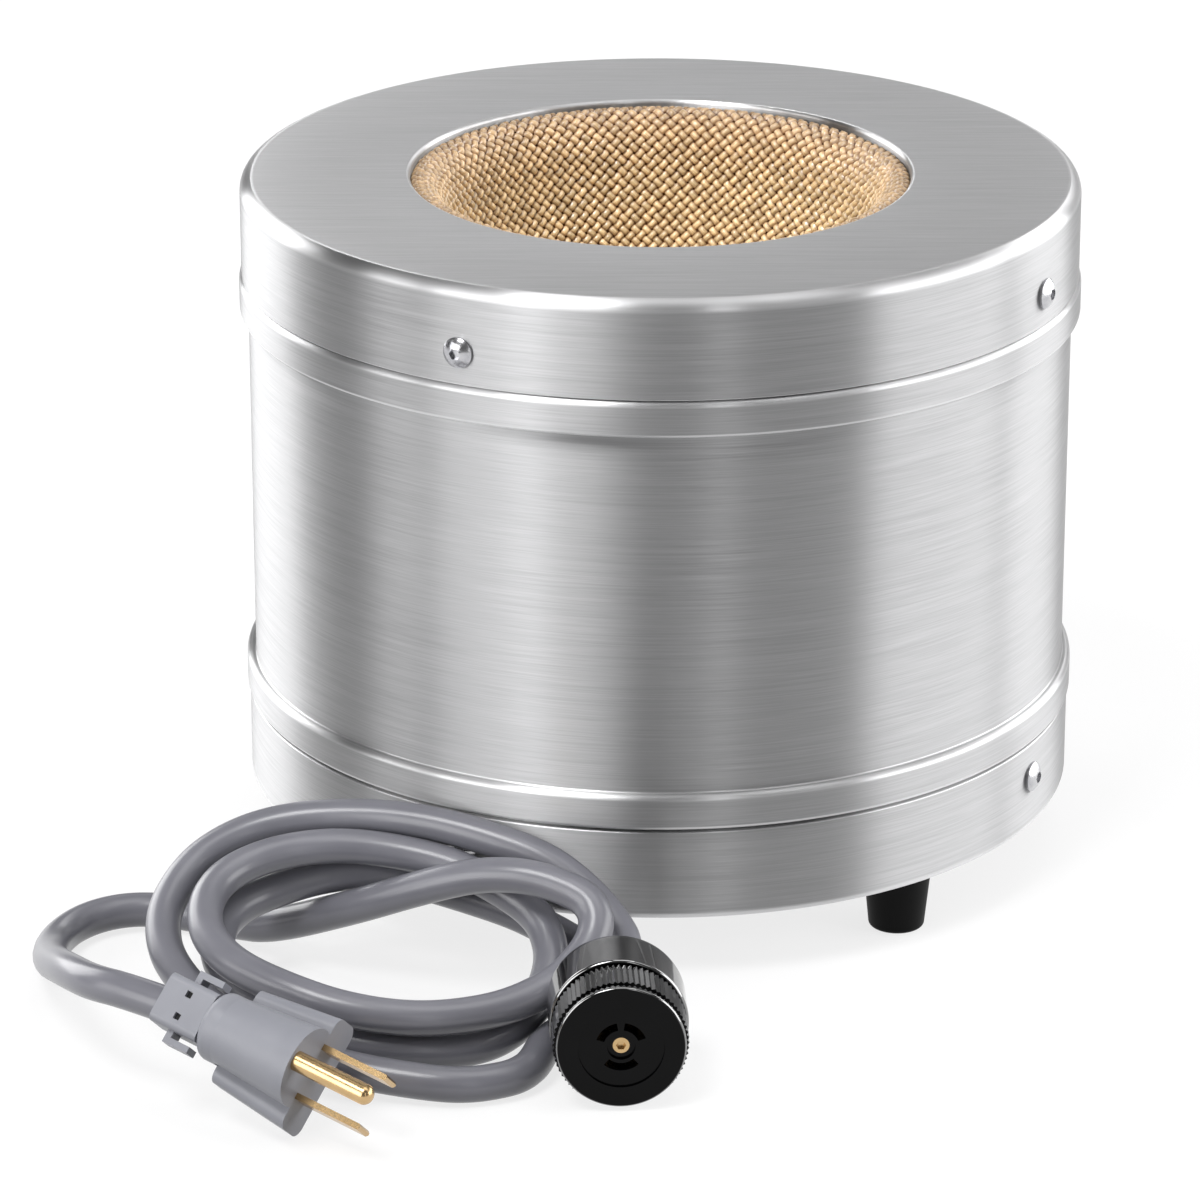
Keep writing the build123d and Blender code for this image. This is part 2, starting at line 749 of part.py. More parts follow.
with BuildPart() as connector_body:
    with BuildSketch(connector.offset(-face_rim_depth)):
        Circle(face_radius)
    extrude(amount=face_rim_depth)
    fillet(connector_body.faces().sort_by(Axis(connector.origin, connector.z_dir))[-1].edges(), face_rim_radius)
    with BuildSketch(connector.offset(-face_rim_depth)):
        with BuildLine():
            Polyline(
                *[
                    (radius * cos(pi * step / flute_count), radius * sin(pi * step / flute_count))
                    for step in range(2 * flute_count)
                    for radius in [flute_radius - flute_depth * (step % 2)]
                ],
                close=True,
            )
        make_face()
    extrude(amount=-flute_length)
    with BuildSketch(connector.offset(flute_start)):
        Circle(groove_radius)
    extrude(amount=-groove_length)
    with BuildSketch(connector):
        Circle(face_recess_radius)
    extrude(amount=-face_recess_depth, mode=Mode.SUBTRACT)
    with BuildSketch(connector.offset(-face_recess_depth)):
        Circle(hub_radius)
    extrude(amount=-hub_depth, mode=Mode.SUBTRACT)
    with BuildSketch(connector.offset(-face_recess_depth - hub_depth)):
        Circle(brass_screw_radius)
    extrude(amount=-contact_depth, mode=Mode.SUBTRACT)
    for name in blade_spans:
        slot_width = blade_thickness + 2 * slot_clearance
        add(curved_blade(connector, name, slot_width, -contact_depth, 0), mode=Mode.SUBTRACT)
finish(connector_body, "connector_body")

for name in blade_spans:
    with BuildPart() as contact:
        add(curved_blade(connector, name, blade_thickness, -contact_depth, contact_thickness - contact_depth))
    finish(contact, f"connector_{name}_contact")

with BuildPart() as connector_screw:
    screw_face = -face_recess_depth - hub_depth
    add(disc(connector, brass_screw_radius, screw_face - contact_depth, screw_face))
    with BuildSketch(connector.offset(screw_face)):
        RegularPolygon(brass_drive_radius, 6)
    extrude(amount=-screw_drive_depth, mode=Mode.SUBTRACT)
finish(connector_screw, "connector_screw")

with BuildPart() as connector_cap:
    add(disc(connector, cap_radius, cap_rear, cap_front))
    ends = connector_cap.edges().filter_by(GeomType.CIRCLE).sort_by(Axis(connector.origin, connector.z_dir))
    fillet(ends[-1], cap_front_radius)
    fillet(ends[0], cap_shoulder)
    add(disc(connector, neck_radius, neck_end, cap_rear))
    add(disc(connector, cord_radius, neck_end, neck_end + cord_socket), mode=Mode.SUBTRACT)
finish(connector_cap, "connector_cap")

# ------------------------------------------------------------------ cord: plug end
plug = Plane(origin=plug_face, x_dir=plug_across, z_dir=plug_heading)
blade_points = {"live": (blade_spacing / 2, 0), "neutral": (-blade_spacing / 2, 0)}
collar_start = -wing_length
clamp_start = collar_start - collar_length
clamp_end = clamp_start - clamp_length


def plug_outline(scale_factor):
    """Face outline of the plug: a dome over the ground pin between two wings."""
    with BuildSketch(mode=Mode.PRIVATE) as outline:
        with Locations((0, dome_offset)):
            Circle(dome_radius)
        with Locations((0, wing_offset)):
            Rectangle(wing_span, wing_depth)
        fillet(outline.vertices().filter_by(lambda v: abs(v.X) > dome_radius + wing_corner / 2), wing_corner)
        scale(by=scale_factor)
    return outline.sketch


with BuildPart() as plug_body:
    with BuildSketch(plug):
        add(plug_outline(1))
    with BuildSketch(plug.offset(-wing_length)):
        add(plug_outline(plug_rear_scale))
    loft()
    with BuildSketch(plug.offset(collar_start)):
        with Locations((0, collar_offset)):
            Circle(collar_radius)
    extrude(amount=-collar_length)
    rear = plug_body.faces().sort_by(Axis(plug.origin, plug.z_dir))[0]
    fillet(rear.edges(), collar_edge)
    with BuildSketch(plug):
        with Locations(*blade_points.values()):
            Rectangle(blade_stock, blade_width)
    extrude(amount=-blade_root, mode=Mode.SUBTRACT)
    with BuildSketch(plug):
        with Locations((0, pin_offset)):
            Circle(pin_radius)
    extrude(amount=-blade_root, mode=Mode.SUBTRACT)
finish(plug_body, "plug_body")

for name, point in blade_points.items():
    with BuildPart() as plug_blade:
        with BuildSketch(plug.offset(-blade_root)):
            with Locations(point):
                Rectangle(blade_stock, blade_width)
        extrude(amount=blade_root + blade_reach)
        tip = plug_blade.faces().sort_by(Axis(plug.origin, plug.z_dir))[-1]
        chamfer(tip.edges().filter_by(Axis(plug.origin, plug.y_dir)), blade_tip)
    finish(plug_blade, f"plug_{name}_blade")

with BuildPart() as plug_ground_pin:
    with BuildSketch(plug.offset(-blade_root)):
        with Locations((0, pin_offset)):
            Circle(pin_radius)
    extrude(amount=blade_root + pin_reach)
    tip = plug_ground_pin.faces().sort_by(Axis(plug.origin, plug.z_dir))[-1]
    fillet(tip.edges(), pin_tip_radius)
finish(plug_ground_pin, "plug_ground_pin")

with BuildPart() as plug_clamp:
    with BuildSketch(plug.offset(clamp_start)):
        with Locations((0, collar_offset)):
            RectangleRounded(clamp_width, clamp_height, clamp_corner)
    extrude(amount=-clamp_length)
    with BuildSketch(plug.offset(clamp_end)):
        with Locations((0, collar_offset)):
            Circle(cord_radius)
    extrude(amount=cord_socket, mode=Mode.SUBTRACT)
    window_plane = Plane(
        origin=plug.from_local_coords((0, collar_offset + clamp_height / 2, clamp_start - clamp_length / 2)),
        x_dir=plug.x_dir,
        z_dir=plug.y_dir,
    )
    with BuildSketch(window_plane):
        with GridLocations(clamp_window_spacing, 0, 2, 1):
            Rectangle(clamp_window, clamp_window)
    extrude(amount=-clamp_window_depth, mode=Mode.SUBTRACT)
    for side in (-1, 1):
        hook_x = side * (clamp_width + hook_thickness) / 2
        root_x = side * (clamp_width / 2 + hook_reach / 2)
        with BuildSketch(plug.offset(clamp_start - clamp_length / 2)):
            with Locations((root_x, collar_offset + hook_rise)):
                Rectangle(hook_reach, hook_height)
        extrude(amount=-hook_thickness)
        with BuildSketch(plug.offset(clamp_start - clamp_length / 2 - hook_thickness)):
            with Locations((hook_x + side * (hook_reach - hook_thickness / 2), collar_offset + hook_rise)):
                Rectangle(hook_thickness, hook_height)
        extrude(amount=hook_length)
finish(plug_clamp, "plug_clamp")

# ------------------------------------------------------------------ cord: lead to the plug, coil, lead to the connector
cord_exit = plug.from_local_coords((0, collar_offset, clamp_end))
plug_lead_points = [
    *plug_lead_route,
    cord_exit - plug.z_dir * clamp_run,
    cord_exit + plug.z_dir * (cord_socket - cord_end_gap),
]
with BuildPart() as plug_lead:
    with BuildLine() as lead_path:
        FilletPolyline(*plug_lead_points, radius=corner_radii(plug_lead_points))
    with BuildSketch(Plane(origin=lead_path.line @ 0, z_dir=lead_path.line % 0)):
        Circle(cord_radius)
    sweep(path=lead_path.line)
finish(plug_lead, "plug_lead")

lead_end = neck_end - connector_run

with BuildPart() as cord_coil:
    with BuildSketch() as coil_outline:
        with BuildLine():
            Polyline(*coil_corners, close=True)
        make_face()
        fillet(coil_outline.vertices(), coil_corner_radius)
        offset(amount=-coil_band, mode=Mode.SUBTRACT)
    extrude(amount=2 * coil_front_height)
    slope = Plane(
        origin=(0, coil_corners[6][1], coil_front_height),
        x_dir=(1, 0, 0),
        z_dir=(0, -coil_rear_rise, 1),
    )
    split(bisect_by=slope, keep=Keep.BOTTOM)
    Cylinder(cover_radius + screw_head_height + coil_clearance, 6 * coil_front_height, mode=Mode.SUBTRACT)
    add(disc(connector, cap_radius + coil_clearance, cap_rear - coil_clearance, cord_radius), mode=Mode.SUBTRACT)
    add(disc(connector, neck_radius + coil_clearance, lead_end, cap_rear), mode=Mode.SUBTRACT)
    with BuildLine() as crossing:
        Line(*crossing_ends)
    with BuildSketch(Plane(origin=crossing.line @ 0, z_dir=crossing.line % 0)):
        Circle(cord_radius)
    sweep(path=crossing.line)
finish(cord_coil, "cord_coil")

with BuildPart() as connector_lead:
    add(disc(connector, cord_radius, lead_end + cord_end_gap, neck_end + cord_socket - cord_end_gap))
finish(connector_lead, "connector_lead")
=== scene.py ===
"""Laboratory heating mantle for a 500 ml flask, with its power cord: materials, weave, cord and studio."""

import random
from math import atan2, cos, pi, radians, sin, sqrt, tan

import bpy
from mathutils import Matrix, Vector


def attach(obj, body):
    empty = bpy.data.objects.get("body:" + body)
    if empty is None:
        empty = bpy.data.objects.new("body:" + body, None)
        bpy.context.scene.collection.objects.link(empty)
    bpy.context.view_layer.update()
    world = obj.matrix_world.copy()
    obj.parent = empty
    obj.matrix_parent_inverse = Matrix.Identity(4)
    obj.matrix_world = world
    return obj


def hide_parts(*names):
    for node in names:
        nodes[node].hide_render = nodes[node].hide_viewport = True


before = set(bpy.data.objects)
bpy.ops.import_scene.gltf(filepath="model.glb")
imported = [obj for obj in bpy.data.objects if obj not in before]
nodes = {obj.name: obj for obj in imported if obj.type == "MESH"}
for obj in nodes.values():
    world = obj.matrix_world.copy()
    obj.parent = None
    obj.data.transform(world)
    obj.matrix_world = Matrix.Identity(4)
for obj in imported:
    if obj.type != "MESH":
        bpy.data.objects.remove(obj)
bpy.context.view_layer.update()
scene = bpy.context.scene
scene.view_settings.view_transform = "Standard"
rng = random.Random(11)

MM = 0.001

# ------------------------------------------------------------------ sizes shared with the solids, metres
TOP_Z = 0.174
OPENING_RADIUS = 0.0625
CLOTH_TOP_Z = 0.1703
LIP_ROLL = 0.009
BOWL_RADIUS = 0.0535
BOWL_Z = CLOTH_TOP_Z - LIP_ROLL
CORD_RADIUS = 0.0043
CONNECTOR_AXIS = (-0.0105, 0.0, 0.0164)     # a point on it; the connector lies nearly along Y
PLUG_ORIGIN = Vector((-0.0807, -0.1896, 0.0155))
PLUG_X = Vector((0.478, 0.474, 0.739)).normalized()
PLUG_Z = Vector((0.8325, -0.5165, -0.2006)).normalized()
PLUG_Y = PLUG_Z.cross(PLUG_X)


# ------------------------------------------------------------------ shader helpers
MIX_SOCKETS = {"FLOAT": (2, 3, 0), "VECTOR": (4, 5, 1), "RGBA": (6, 7, 2)}     # first, second, result


def rgb(red, green, blue):
    """Linear colour from three 0-255 values as seen on screen."""
    return tuple((value / 255) ** 2.2 for value in (red, green, blue)) + (1.0,)


def add_node(tree, kind, **settings):
    """Node of that kind; settings are its properties, or its input values by name with _ for spaces."""
    node = tree.nodes.new(kind)
    for name, value in settings.items():
        if hasattr(node, name):
            setattr(node, name, value)
        else:
            node.inputs[name.replace("_", " ")].default_value = value
    return node


def feed(tree, value, socket):
    """Links an output to the socket, or gives the socket a plain value."""
    if isinstance(value, bpy.types.NodeSocket):
        tree.links.new(value, socket)
    else:
        socket.default_value = value


def computed(tree, operation, *values, kind="ShaderNodeMath", result=0):
    """Result of a maths node; the values are outputs of other nodes or plain."""
    node = add_node(tree, kind, operation=operation)
    for value, socket in zip(values, node.inputs):
        feed(tree, value, socket)
    return node.outputs[result]


def mixed(tree, kind, share, first, second, blend="MIX"):
    """Between the first and the second by the share; each is an output of another node or plain."""
    node = add_node(tree, "ShaderNodeMix", data_type=kind, blend_type=blend)
    first_socket, second_socket, result = MIX_SOCKETS[kind]
    feed(tree, share, node.inputs["Factor"])
    feed(tree, first, node.inputs[first_socket])
    feed(tree, second, node.inputs[second_socket])
    return node.outputs[result]


def shader_group(name, inputs, outputs):
    """Empty node group with named sockets; returns its tree, its input node and its output node."""
    tree = bpy.data.node_groups.new(name, "ShaderNodeTree")
    for socket, kind, value in inputs:
        made = tree.interface.new_socket(socket, in_out="INPUT", socket_type=kind)
        if value is not None:
            made.default_value = value
    for socket, kind in outputs:
        tree.interface.new_socket(socket, in_out="OUTPUT", socket_type=kind)
    return tree, tree.nodes.new("NodeGroupInput"), tree.nodes.new("NodeGroupOutput")


def use_group(tree, group, **values):
    """Places a group in a material with its own values."""
    node = tree.nodes.new("ShaderNodeGroup")
    node.node_tree = group
    for name, value in values.items():
        node.inputs[name.replace("_", " ")].default_value = value
    return node


def brushed_marks():
    """Brush lines: fine ones over broad ones, running where the given point is scaled down."""
    tree, given, out = shader_group(
        "brush lines",
        [("Vector", "NodeSocketVector", None), ("Fineness", "NodeSocketFloat", 1.0)],
        [("Lines", "NodeSocketFloat")],
    )
    fine = add_node(tree, "ShaderNodeTexNoise", Detail=4.0, Roughness=0.65)
    broad = add_node(tree, "ShaderNodeTexNoise", Detail=2.0, Roughness=0.5)
    fineness = given.outputs["Fineness"]
    for texture, scale in ((fine, fineness), (broad, computed(tree, "MULTIPLY", fineness, 0.22))):
        tree.links.new(given.outputs["Vector"], texture.inputs["Vector"])
        tree.links.new(scale, texture.inputs["Scale"])
    lines = mixed(tree, "FLOAT", 0.18, fine.outputs["Fac"], broad.outputs["Fac"])
    tree.links.new(lines, out.inputs["Lines"])
    return tree


def handled_surface():
    """Soft mottling and fine speckle that handling leaves on moulded rubber and plastic."""
    tree, given, out = shader_group(
        "handled surface",
        [
            ("Vector", "NodeSocketVector", None),
            ("Mottle Scale", "NodeSocketFloat", 60.0),
            ("Grain Scale", "NodeSocketFloat", 1500.0),
        ],
        [("Mottle", "NodeSocketFloat"), ("Grain", "NodeSocketFloat")],
    )
    mottle = add_node(tree, "ShaderNodeTexNoise", Detail=3.0, Roughness=0.55)
    grain = add_node(tree, "ShaderNodeTexNoise", Detail=2.0, Roughness=0.6)
    for texture, mark in ((mottle, "Mottle"), (grain, "Grain")):
        tree.links.new(given.outputs["Vector"], texture.inputs["Vector"])
        tree.links.new(given.outputs[mark + " Scale"], texture.inputs["Scale"])
        tree.links.new(texture.outputs["Fac"], out.inputs[mark])
    return tree


BRUSH_LINES = brushed_marks()
HANDLED = handled_surface()


def new_material(name, **values):
    """Material with its Principled shader, whose plain sockets take the values given."""
    material = bpy.data.materials.new(name)
    material.use_nodes = True
    shader = material.node_tree.nodes["Principled BSDF"]
    for socket, value in values.items():
        shader.inputs[socket.replace("_", " ")].default_value = value
    return material, material.node_tree, shader


def ramp(tree, factor, *stops):
    """Colour that runs through the stops, each a place from 0 to 1 and a colour."""
    node = tree.nodes.new("ShaderNodeValToRGB")
    elements = node.color_ramp.elements
    for element, (position, colour) in zip(elements, (stops[0], stops[-1])):
        element.position = position
        element.color = colour
    for position, colour in stops[1:-1]:
        elements.new(position).color = colour
    tree.links.new(factor, node.inputs["Fac"])
    return node.outputs["Color"]


def range_between(tree, factor, low, high, start=0.3, end=0.7):
    """Number that runs from low to high as the factor runs from start to end."""
    node = add_node(tree, "ShaderNodeMapRange")
    for name, value in (("From Min", start), ("From Max", end), ("To Min", low), ("To Max", high)):
        node.inputs[name].default_value = value
    tree.links.new(factor, node.inputs["Value"])
    return node.outputs["Result"]


def bump_from(tree, shader, height, distance, strength=0.5):
    """Surface relief from a height that runs from 0 to 1; distance is in metres."""
    bump = add_node(tree, "ShaderNodeBump", Strength=strength, Distance=distance)
    tree.links.new(height, bump.inputs["Height"])
    tree.links.new(bump.outputs["Normal"], shader.inputs["Normal"])


def object_point(tree):
    """Place on the object, in metres."""
    return tree.nodes.new("ShaderNodeTexCoord").outputs["Object"]


def parts_of(tree, vector):
    """X, Y and Z outputs of a vector."""
    node = tree.nodes.new("ShaderNodeSeparateXYZ")
    tree.links.new(vector, node.inputs[0])
    return node.outputs


def surface_normal(tree):
    """X, Y and Z outputs of the direction that the surface faces."""
    return parts_of(tree, tree.nodes.new("ShaderNodeNewGeometry").outputs["Normal"])


def scaled_point(tree, point, scale):
    """Point scaled by its own factor in each direction, so that noise on it can run in lines."""
    return computed(tree, "MULTIPLY", point, scale, kind="ShaderNodeVectorMath")


def handled_marks(tree, mottle, grain):
    """Mottle and Grain outputs of the handled surface, each with its scale."""
    marks = use_group(tree, HANDLED, Mottle_Scale=mottle, Grain_Scale=grain)
    tree.links.new(object_point(tree), marks.inputs["Vector"])
    return marks.outputs


# ------------------------------------------------------------------ materials
BRUSH_STRETCH = 0.012       # scale along the brush lines, against 1 across them
BRUSH_FINENESS = 3600.0
BRUSH_START, BRUSH_END = 0.36, 0.64     # the part of the noise's range that shows
LEVEL_TOLERANCE = 0.00012   # under the top, where a face still counts as flat
MOTTLE_START, MOTTLE_END = 0.35, 0.65
CONNECTOR_SHELL = (0.0128, 0.0136)      # from the face's plain middle to its glossy rim


def painted_highlight_edges(tree):
    """Mask of the rounded rims and beads, which get a lower roughness and a lighter colour; the lighter colour
    is a painted highlight.
    """
    upright = computed(tree, "ABSOLUTE", surface_normal(tree)["Z"])
    off_walls = range_between(tree, upright, 0.0, 1.0, 0.06, 0.35)
    off_flats = range_between(tree, upright, 1.0, 0.0, 0.96, 0.998)
    return computed(tree, "MULTIPLY", off_walls, off_flats)


def brushed_aluminium(name, flat_top=False):
    """Aluminium brushed round its sides and, on a flat top, straight across."""
    material, tree, shader = new_material(name, Metallic=1.0, Anisotropic=1.0, Anisotropic_Rotation=0.25)
    point = object_point(tree)
    brushed_point = scaled_point(tree, point, (BRUSH_STRETCH, BRUSH_STRETCH, 1.0))
    tangent = add_node(tree, "ShaderNodeTangent", direction_type="RADIAL", axis="Z").outputs["Tangent"]
    if flat_top:
        level = computed(tree, "GREATER_THAN", parts_of(tree, point)["Z"], TOP_Z - LEVEL_TOLERANCE)
        straight = scaled_point(tree, point, (BRUSH_STRETCH, 1.0, 1.0))
        brushed_point = mixed(tree, "VECTOR", level, brushed_point, straight)
        tangent = mixed(tree, "VECTOR", level, tangent, (1.0, 0.0, 0.0))
    tree.links.new(tangent, shader.inputs["Tangent"])
    brush = use_group(tree, BRUSH_LINES, Fineness=BRUSH_FINENESS)
    tree.links.new(brushed_point, brush.inputs["Vector"])
    lines = brush.outputs["Lines"]
    edge = painted_highlight_edges(tree)
    tone = ramp(tree, lines, (BRUSH_START, rgb(171, 171, 172)), (BRUSH_END, rgb(184, 184, 185)))
    # The rounded rims and beads are lighter in colour: painted highlight.
    tree.links.new(mixed(tree, "RGBA", edge, tone, rgb(206, 206, 207)), shader.inputs["Base Color"])
    rough = range_between(tree, lines, 0.52, 0.47, BRUSH_START, BRUSH_END)
    tree.links.new(mixed(tree, "FLOAT", edge, rough, 0.36), shader.inputs["Roughness"])
    bump_from(tree, shader, lines, 0.00002, 0.12)
    return material


def machined_metal(name, low, high, rough, wear=0.25, relief=0.00001):
    """Small turned or stamped metal parts, with faint marks and handling stains."""
    material, tree, shader = new_material(name, Metallic=1.0)
    marks = handled_marks(tree, 220.0, 1400.0)
    tone = ramp(tree, marks["Mottle"], (MOTTLE_START, low), (MOTTLE_END, high))
    tree.links.new(tone, shader.inputs["Base Color"])
    polish = range_between(tree, marks["Grain"], rough * (1 - wear), rough * (1 + wear))
    tree.links.new(polish, shader.inputs["Roughness"])
    bump_from(tree, shader, marks["Grain"], relief)
    return material


def moulded(name, low, high, rough, relief=0.00002, mottle=60.0, grain=1500.0, **values):
    """Moulded rubber or plastic with soft mottling and a fine surface grain; cloth and wool too."""
    material, tree, shader = new_material(name, **values)
    marks = handled_marks(tree, mottle, grain)
    tone = ramp(tree, marks["Mottle"], (MOTTLE_START, low), (MOTTLE_END, high))
    tree.links.new(tone, shader.inputs["Base Color"])
    polish = range_between(tree, marks["Mottle"], rough * 0.88, rough * 1.12)
    tree.links.new(polish, shader.inputs["Roughness"])
    bump_from(tree, shader, marks["Grain"], relief)
    return material


def glossy_connector(name):
    """Moulded black plastic, glossy round the shell and plainer on the face that meets the inlet."""
    material, tree, shader = new_material(
        name, Roughness=0.2, Specular_IOR_Level=0.12, Coat_Roughness=0.05, Coat_IOR=3.0
    )
    marks = handled_marks(tree, 90.0, 1800.0)
    tone = ramp(tree, marks["Mottle"], (MOTTLE_START, rgb(6, 6, 7)), (MOTTLE_END, rgb(11, 11, 12)))
    tree.links.new(tone, shader.inputs["Base Color"])
    off_face = range_between(tree, surface_normal(tree)["Y"], 0.0, 1.0, -0.97, -0.85)
    from_axis = computed(tree, "SUBTRACT", object_point(tree), CONNECTOR_AXIS, kind="ShaderNodeVectorMath")
    across = scaled_point(tree, from_axis, (1.0, 0.0, 1.0))
    distance = computed(tree, "LENGTH", across, kind="ShaderNodeVectorMath", result="Value")
    outside = range_between(tree, distance, 0.0, 1.0, *CONNECTOR_SHELL)
    tree.links.new(computed(tree, "MULTIPLY", off_face, outside), shader.inputs["Coat Weight"])
    bump_from(tree, shader, marks["Grain"], 0.000006)
    return material


def glass_yarn(name):
    """Twisted glass yarn: fine strands along each float, a tone of its own, and painted shade that darkens each
    float towards its ends and sides.
    """
    material, tree, shader = new_material(name, Specular_IOR_Level=0.8, Coat_Weight=0.6, Coat_Roughness=0.3)
    place = parts_of(tree, add_node(tree, "ShaderNodeUVMap", uv_map="float").outputs["UV"])
    own_tone = add_node(tree, "ShaderNodeAttribute", attribute_name="tone")
    tone = tree.nodes.new("ShaderNodeSeparateColor")
    tree.links.new(own_tone.outputs["Color"], tone.inputs[0])
    seed, depth, lightness = (tone.outputs[part] for part in ("Red", "Green", "Blue"))
    strand_point = tree.nodes.new("ShaderNodeCombineXYZ")
    for source, scale, axis in ((place["X"], 0.7, "X"), (place["Y"], 9.0, "Y"), (seed, 40.0, "Z")):
        tree.links.new(computed(tree, "MULTIPLY", source, scale), strand_point.inputs[axis])
    texture = add_node(tree, "ShaderNodeTexNoise", Scale=1.0, Detail=3.0, Roughness=0.6)
    tree.links.new(strand_point.outputs[0], texture.inputs["Vector"])
    strands = texture.outputs["Fac"]
    by_depth = ramp(
        tree, depth, (0.0, rgb(208, 175, 132)), (0.3, rgb(240, 205, 156)), (1.0, rgb(255, 226, 174))
    )
    shade = ramp(tree, strands, (0.25, (0.52, 0.45, 0.36, 1)), (0.6, (1, 1, 1, 1)))
    colour = mixed(tree, "RGBA", 0.75, by_depth, shade, "MULTIPLY")
    colour = mixed(tree, "RGBA", 1.0, colour, lightness, "MULTIPLY")
    # Painted shade: each float's colour darkens towards its ends and sides, as if shaded by the yarns that
    # cross it.
    painted_shades = []
    for axis, power in (("X", 2.8), ("Y", 2.2)):
        off_middle = computed(tree, "ABSOLUTE", computed(tree, "MULTIPLY_ADD", place[axis], 2.0, -1.0))
        painted_shades.append(computed(tree, "POWER", off_middle, power))
    painted_shade = computed(tree, "MAXIMUM", *painted_shades)
    colour = mixed(tree, "RGBA", painted_shade, colour, (0.26, 0.125, 0.04, 1), "MULTIPLY")
    tree.links.new(colour, shader.inputs["Base Color"])
    tree.links.new(range_between(tree, strands, 0.46, 0.26), shader.inputs["Roughness"])
    bump_from(tree, shader, strands, 0.00012, 0.7)
    return material


ALUMINIUM = brushed_aluminium("brushed aluminium")
TOP_ALUMINIUM = brushed_aluminium("brushed aluminium top", flat_top=True)
SCREW_STEEL = machined_metal("satin screw steel", rgb(176, 176, 180), rgb(206, 206, 208), 0.22)
BRASS = machined_metal("brass contacts", rgb(190, 160, 116), rgb(200, 170, 126), 0.26, 0.05, 0.000001)
ELEMENT_WIRE = machined_metal("resistance wire", rgb(120, 112, 106), rgb(156, 148, 140), 0.4)
BLACK_RUBBER = moulded(
    "black rubber", rgb(4, 4, 5), rgb(8, 8, 9), 0.55, relief=0.00004, Specular_IOR_Level=0.12
)
CORD_JACKET = moulded(
    "grey cord jacket", rgb(108, 108, 115), rgb(116, 116, 123), 0.36,
    mottle=40.0, grain=900.0, Coat_Weight=0.4, Coat_Roughness=0.2,
)
PLUG_PLASTIC = moulded("blue-grey plug plastic", rgb(130, 131, 138), rgb(138, 139, 146), 0.4, relief=0.00003)
GLOSS_BLACK = glossy_connector("gloss black connector")
INLET_BLACK = moulded("black inlet plastic", rgb(20, 20, 21), rgb(30, 30, 31), 0.4)
YARN = glass_yarn("glass yarn")
# The cloth under the floats is dark brown: painted shade in the gaps between them.
SHADE_PAINTED_CLOTH = moulded(
    "painted shade cloth between the floats", rgb(66, 42, 20), rgb(96, 64, 32), 0.9, relief=0.0002, mottle=400.0
)
BACKING = moulded(
    "backing cloth", rgb(214, 204, 180), rgb(232, 224, 202), 0.9, relief=0.0004, mottle=120.0, grain=700.0
)
WOOL = moulded(
    "mineral wool", rgb(206, 196, 170), rgb(236, 228, 206), 0.95, relief=0.0008, mottle=90.0, grain=500.0
)
LEAD_INSULATION = moulded("silicone lead", rgb(190, 186, 176), rgb(206, 202, 192), 0.6)

NODE_MATERIALS = {
    TOP_ALUMINIUM: ("top_cover",),
    ALUMINIUM: ("body_shell", "bottom_cover"),
    SCREW_STEEL: (
        "top_cover_screws", "bottom_cover_screws", "foot_screws", "foot_washers", "foot_nuts",
        "inlet_screws", "inlet_nuts", "inlet_terminal_screws", "ground_lug",
    ),
    BLACK_RUBBER: ("rubber_foot_1", "rubber_foot_2", "rubber_foot_3"),
    ELEMENT_WIRE: ("heating_element",),
    BACKING: ("backing_cloth",),
    WOOL: ("insulation_collar", "insulation_base"),
    INLET_BLACK: ("inlet_body",),
    BRASS: (
        "inlet_live_blade", "inlet_neutral_blade", "inlet_ground_blade", "plug_live_blade",
        "plug_neutral_blade", "plug_ground_pin", "connector_screw", "connector_live_contact",
        "connector_neutral_contact", "connector_ground_contact",
    ),
    LEAD_INSULATION: ("live_lead", "neutral_lead", "ground_lead"),
    PLUG_PLASTIC: ("plug_body", "plug_clamp"),
    GLOSS_BLACK: ("connector_body", "connector_cap"),
}
for material, names in NODE_MATERIALS.items():
    for name in names:
        mesh = nodes[name].data
        mesh.materials.clear()
        mesh.materials.append(material)


# ------------------------------------------------------------------ mesh helpers
def mesh_piece(name, points, faces, material, slot, smooth=True):
    """New mesh object that rides on the housing."""
    mesh = bpy.data.meshes.new(name)
    mesh.from_pydata(points, [], faces)
    mesh.validate()
    mesh.update()
    if smooth:
        mesh.shade_smooth()
    mesh.materials.append(material)
    piece = bpy.data.objects.new(name, mesh)
    scene.collection.objects.link(piece)
    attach(piece, "root")
    return piece


# ------------------------------------------------------------------ spun housing, millimetres
TURNS = 256
FILLET_STEPS = 7
SHARP_EDGE = 38             # degrees
SHEET = 1.4                 # thickness of the aluminium
COVER_RADIUS = 105.0        # of the top cover and the bottom pan
COVER_TOP = TOP_Z / MM
COVER_EDGE = 149.35
OPENING = OPENING_RADIUS / MM
OPENING_EDGE = 170.6        # where the edge rolled into the opening ends
BODY_RADIUS = 103.4
BODY_INSIDE = BODY_RADIUS - SHEET
BODY_BOTTOM, BODY_TOP = 18.2, 170.5
BEAD_RADIUS = 105.6
LOW_BEAD_BOTTOM, LOW_BEAD_TOP = 39.95, 48.9
HIGH_BEAD_BOTTOM, HIGH_BEAD_TOP = 140.2, 149.1
PAN_BOTTOM, PAN_EDGE = 16.0, 39.2
PAN_MIDDLE = 0.4            # radius of the pinhole left in the middle of the pan
INLET_HEIGHT = 75.7         # middle of the opening cut for the inlet, at the back
INLET_OPENING = 18.3        # its radius
INLET_BAND = 1.0            # half the height of the band of faces that the opening is cut from
INLET_LOW, INLET_HIGH = INLET_HEIGHT - INLET_BAND, INLET_HEIGHT + INLET_BAND


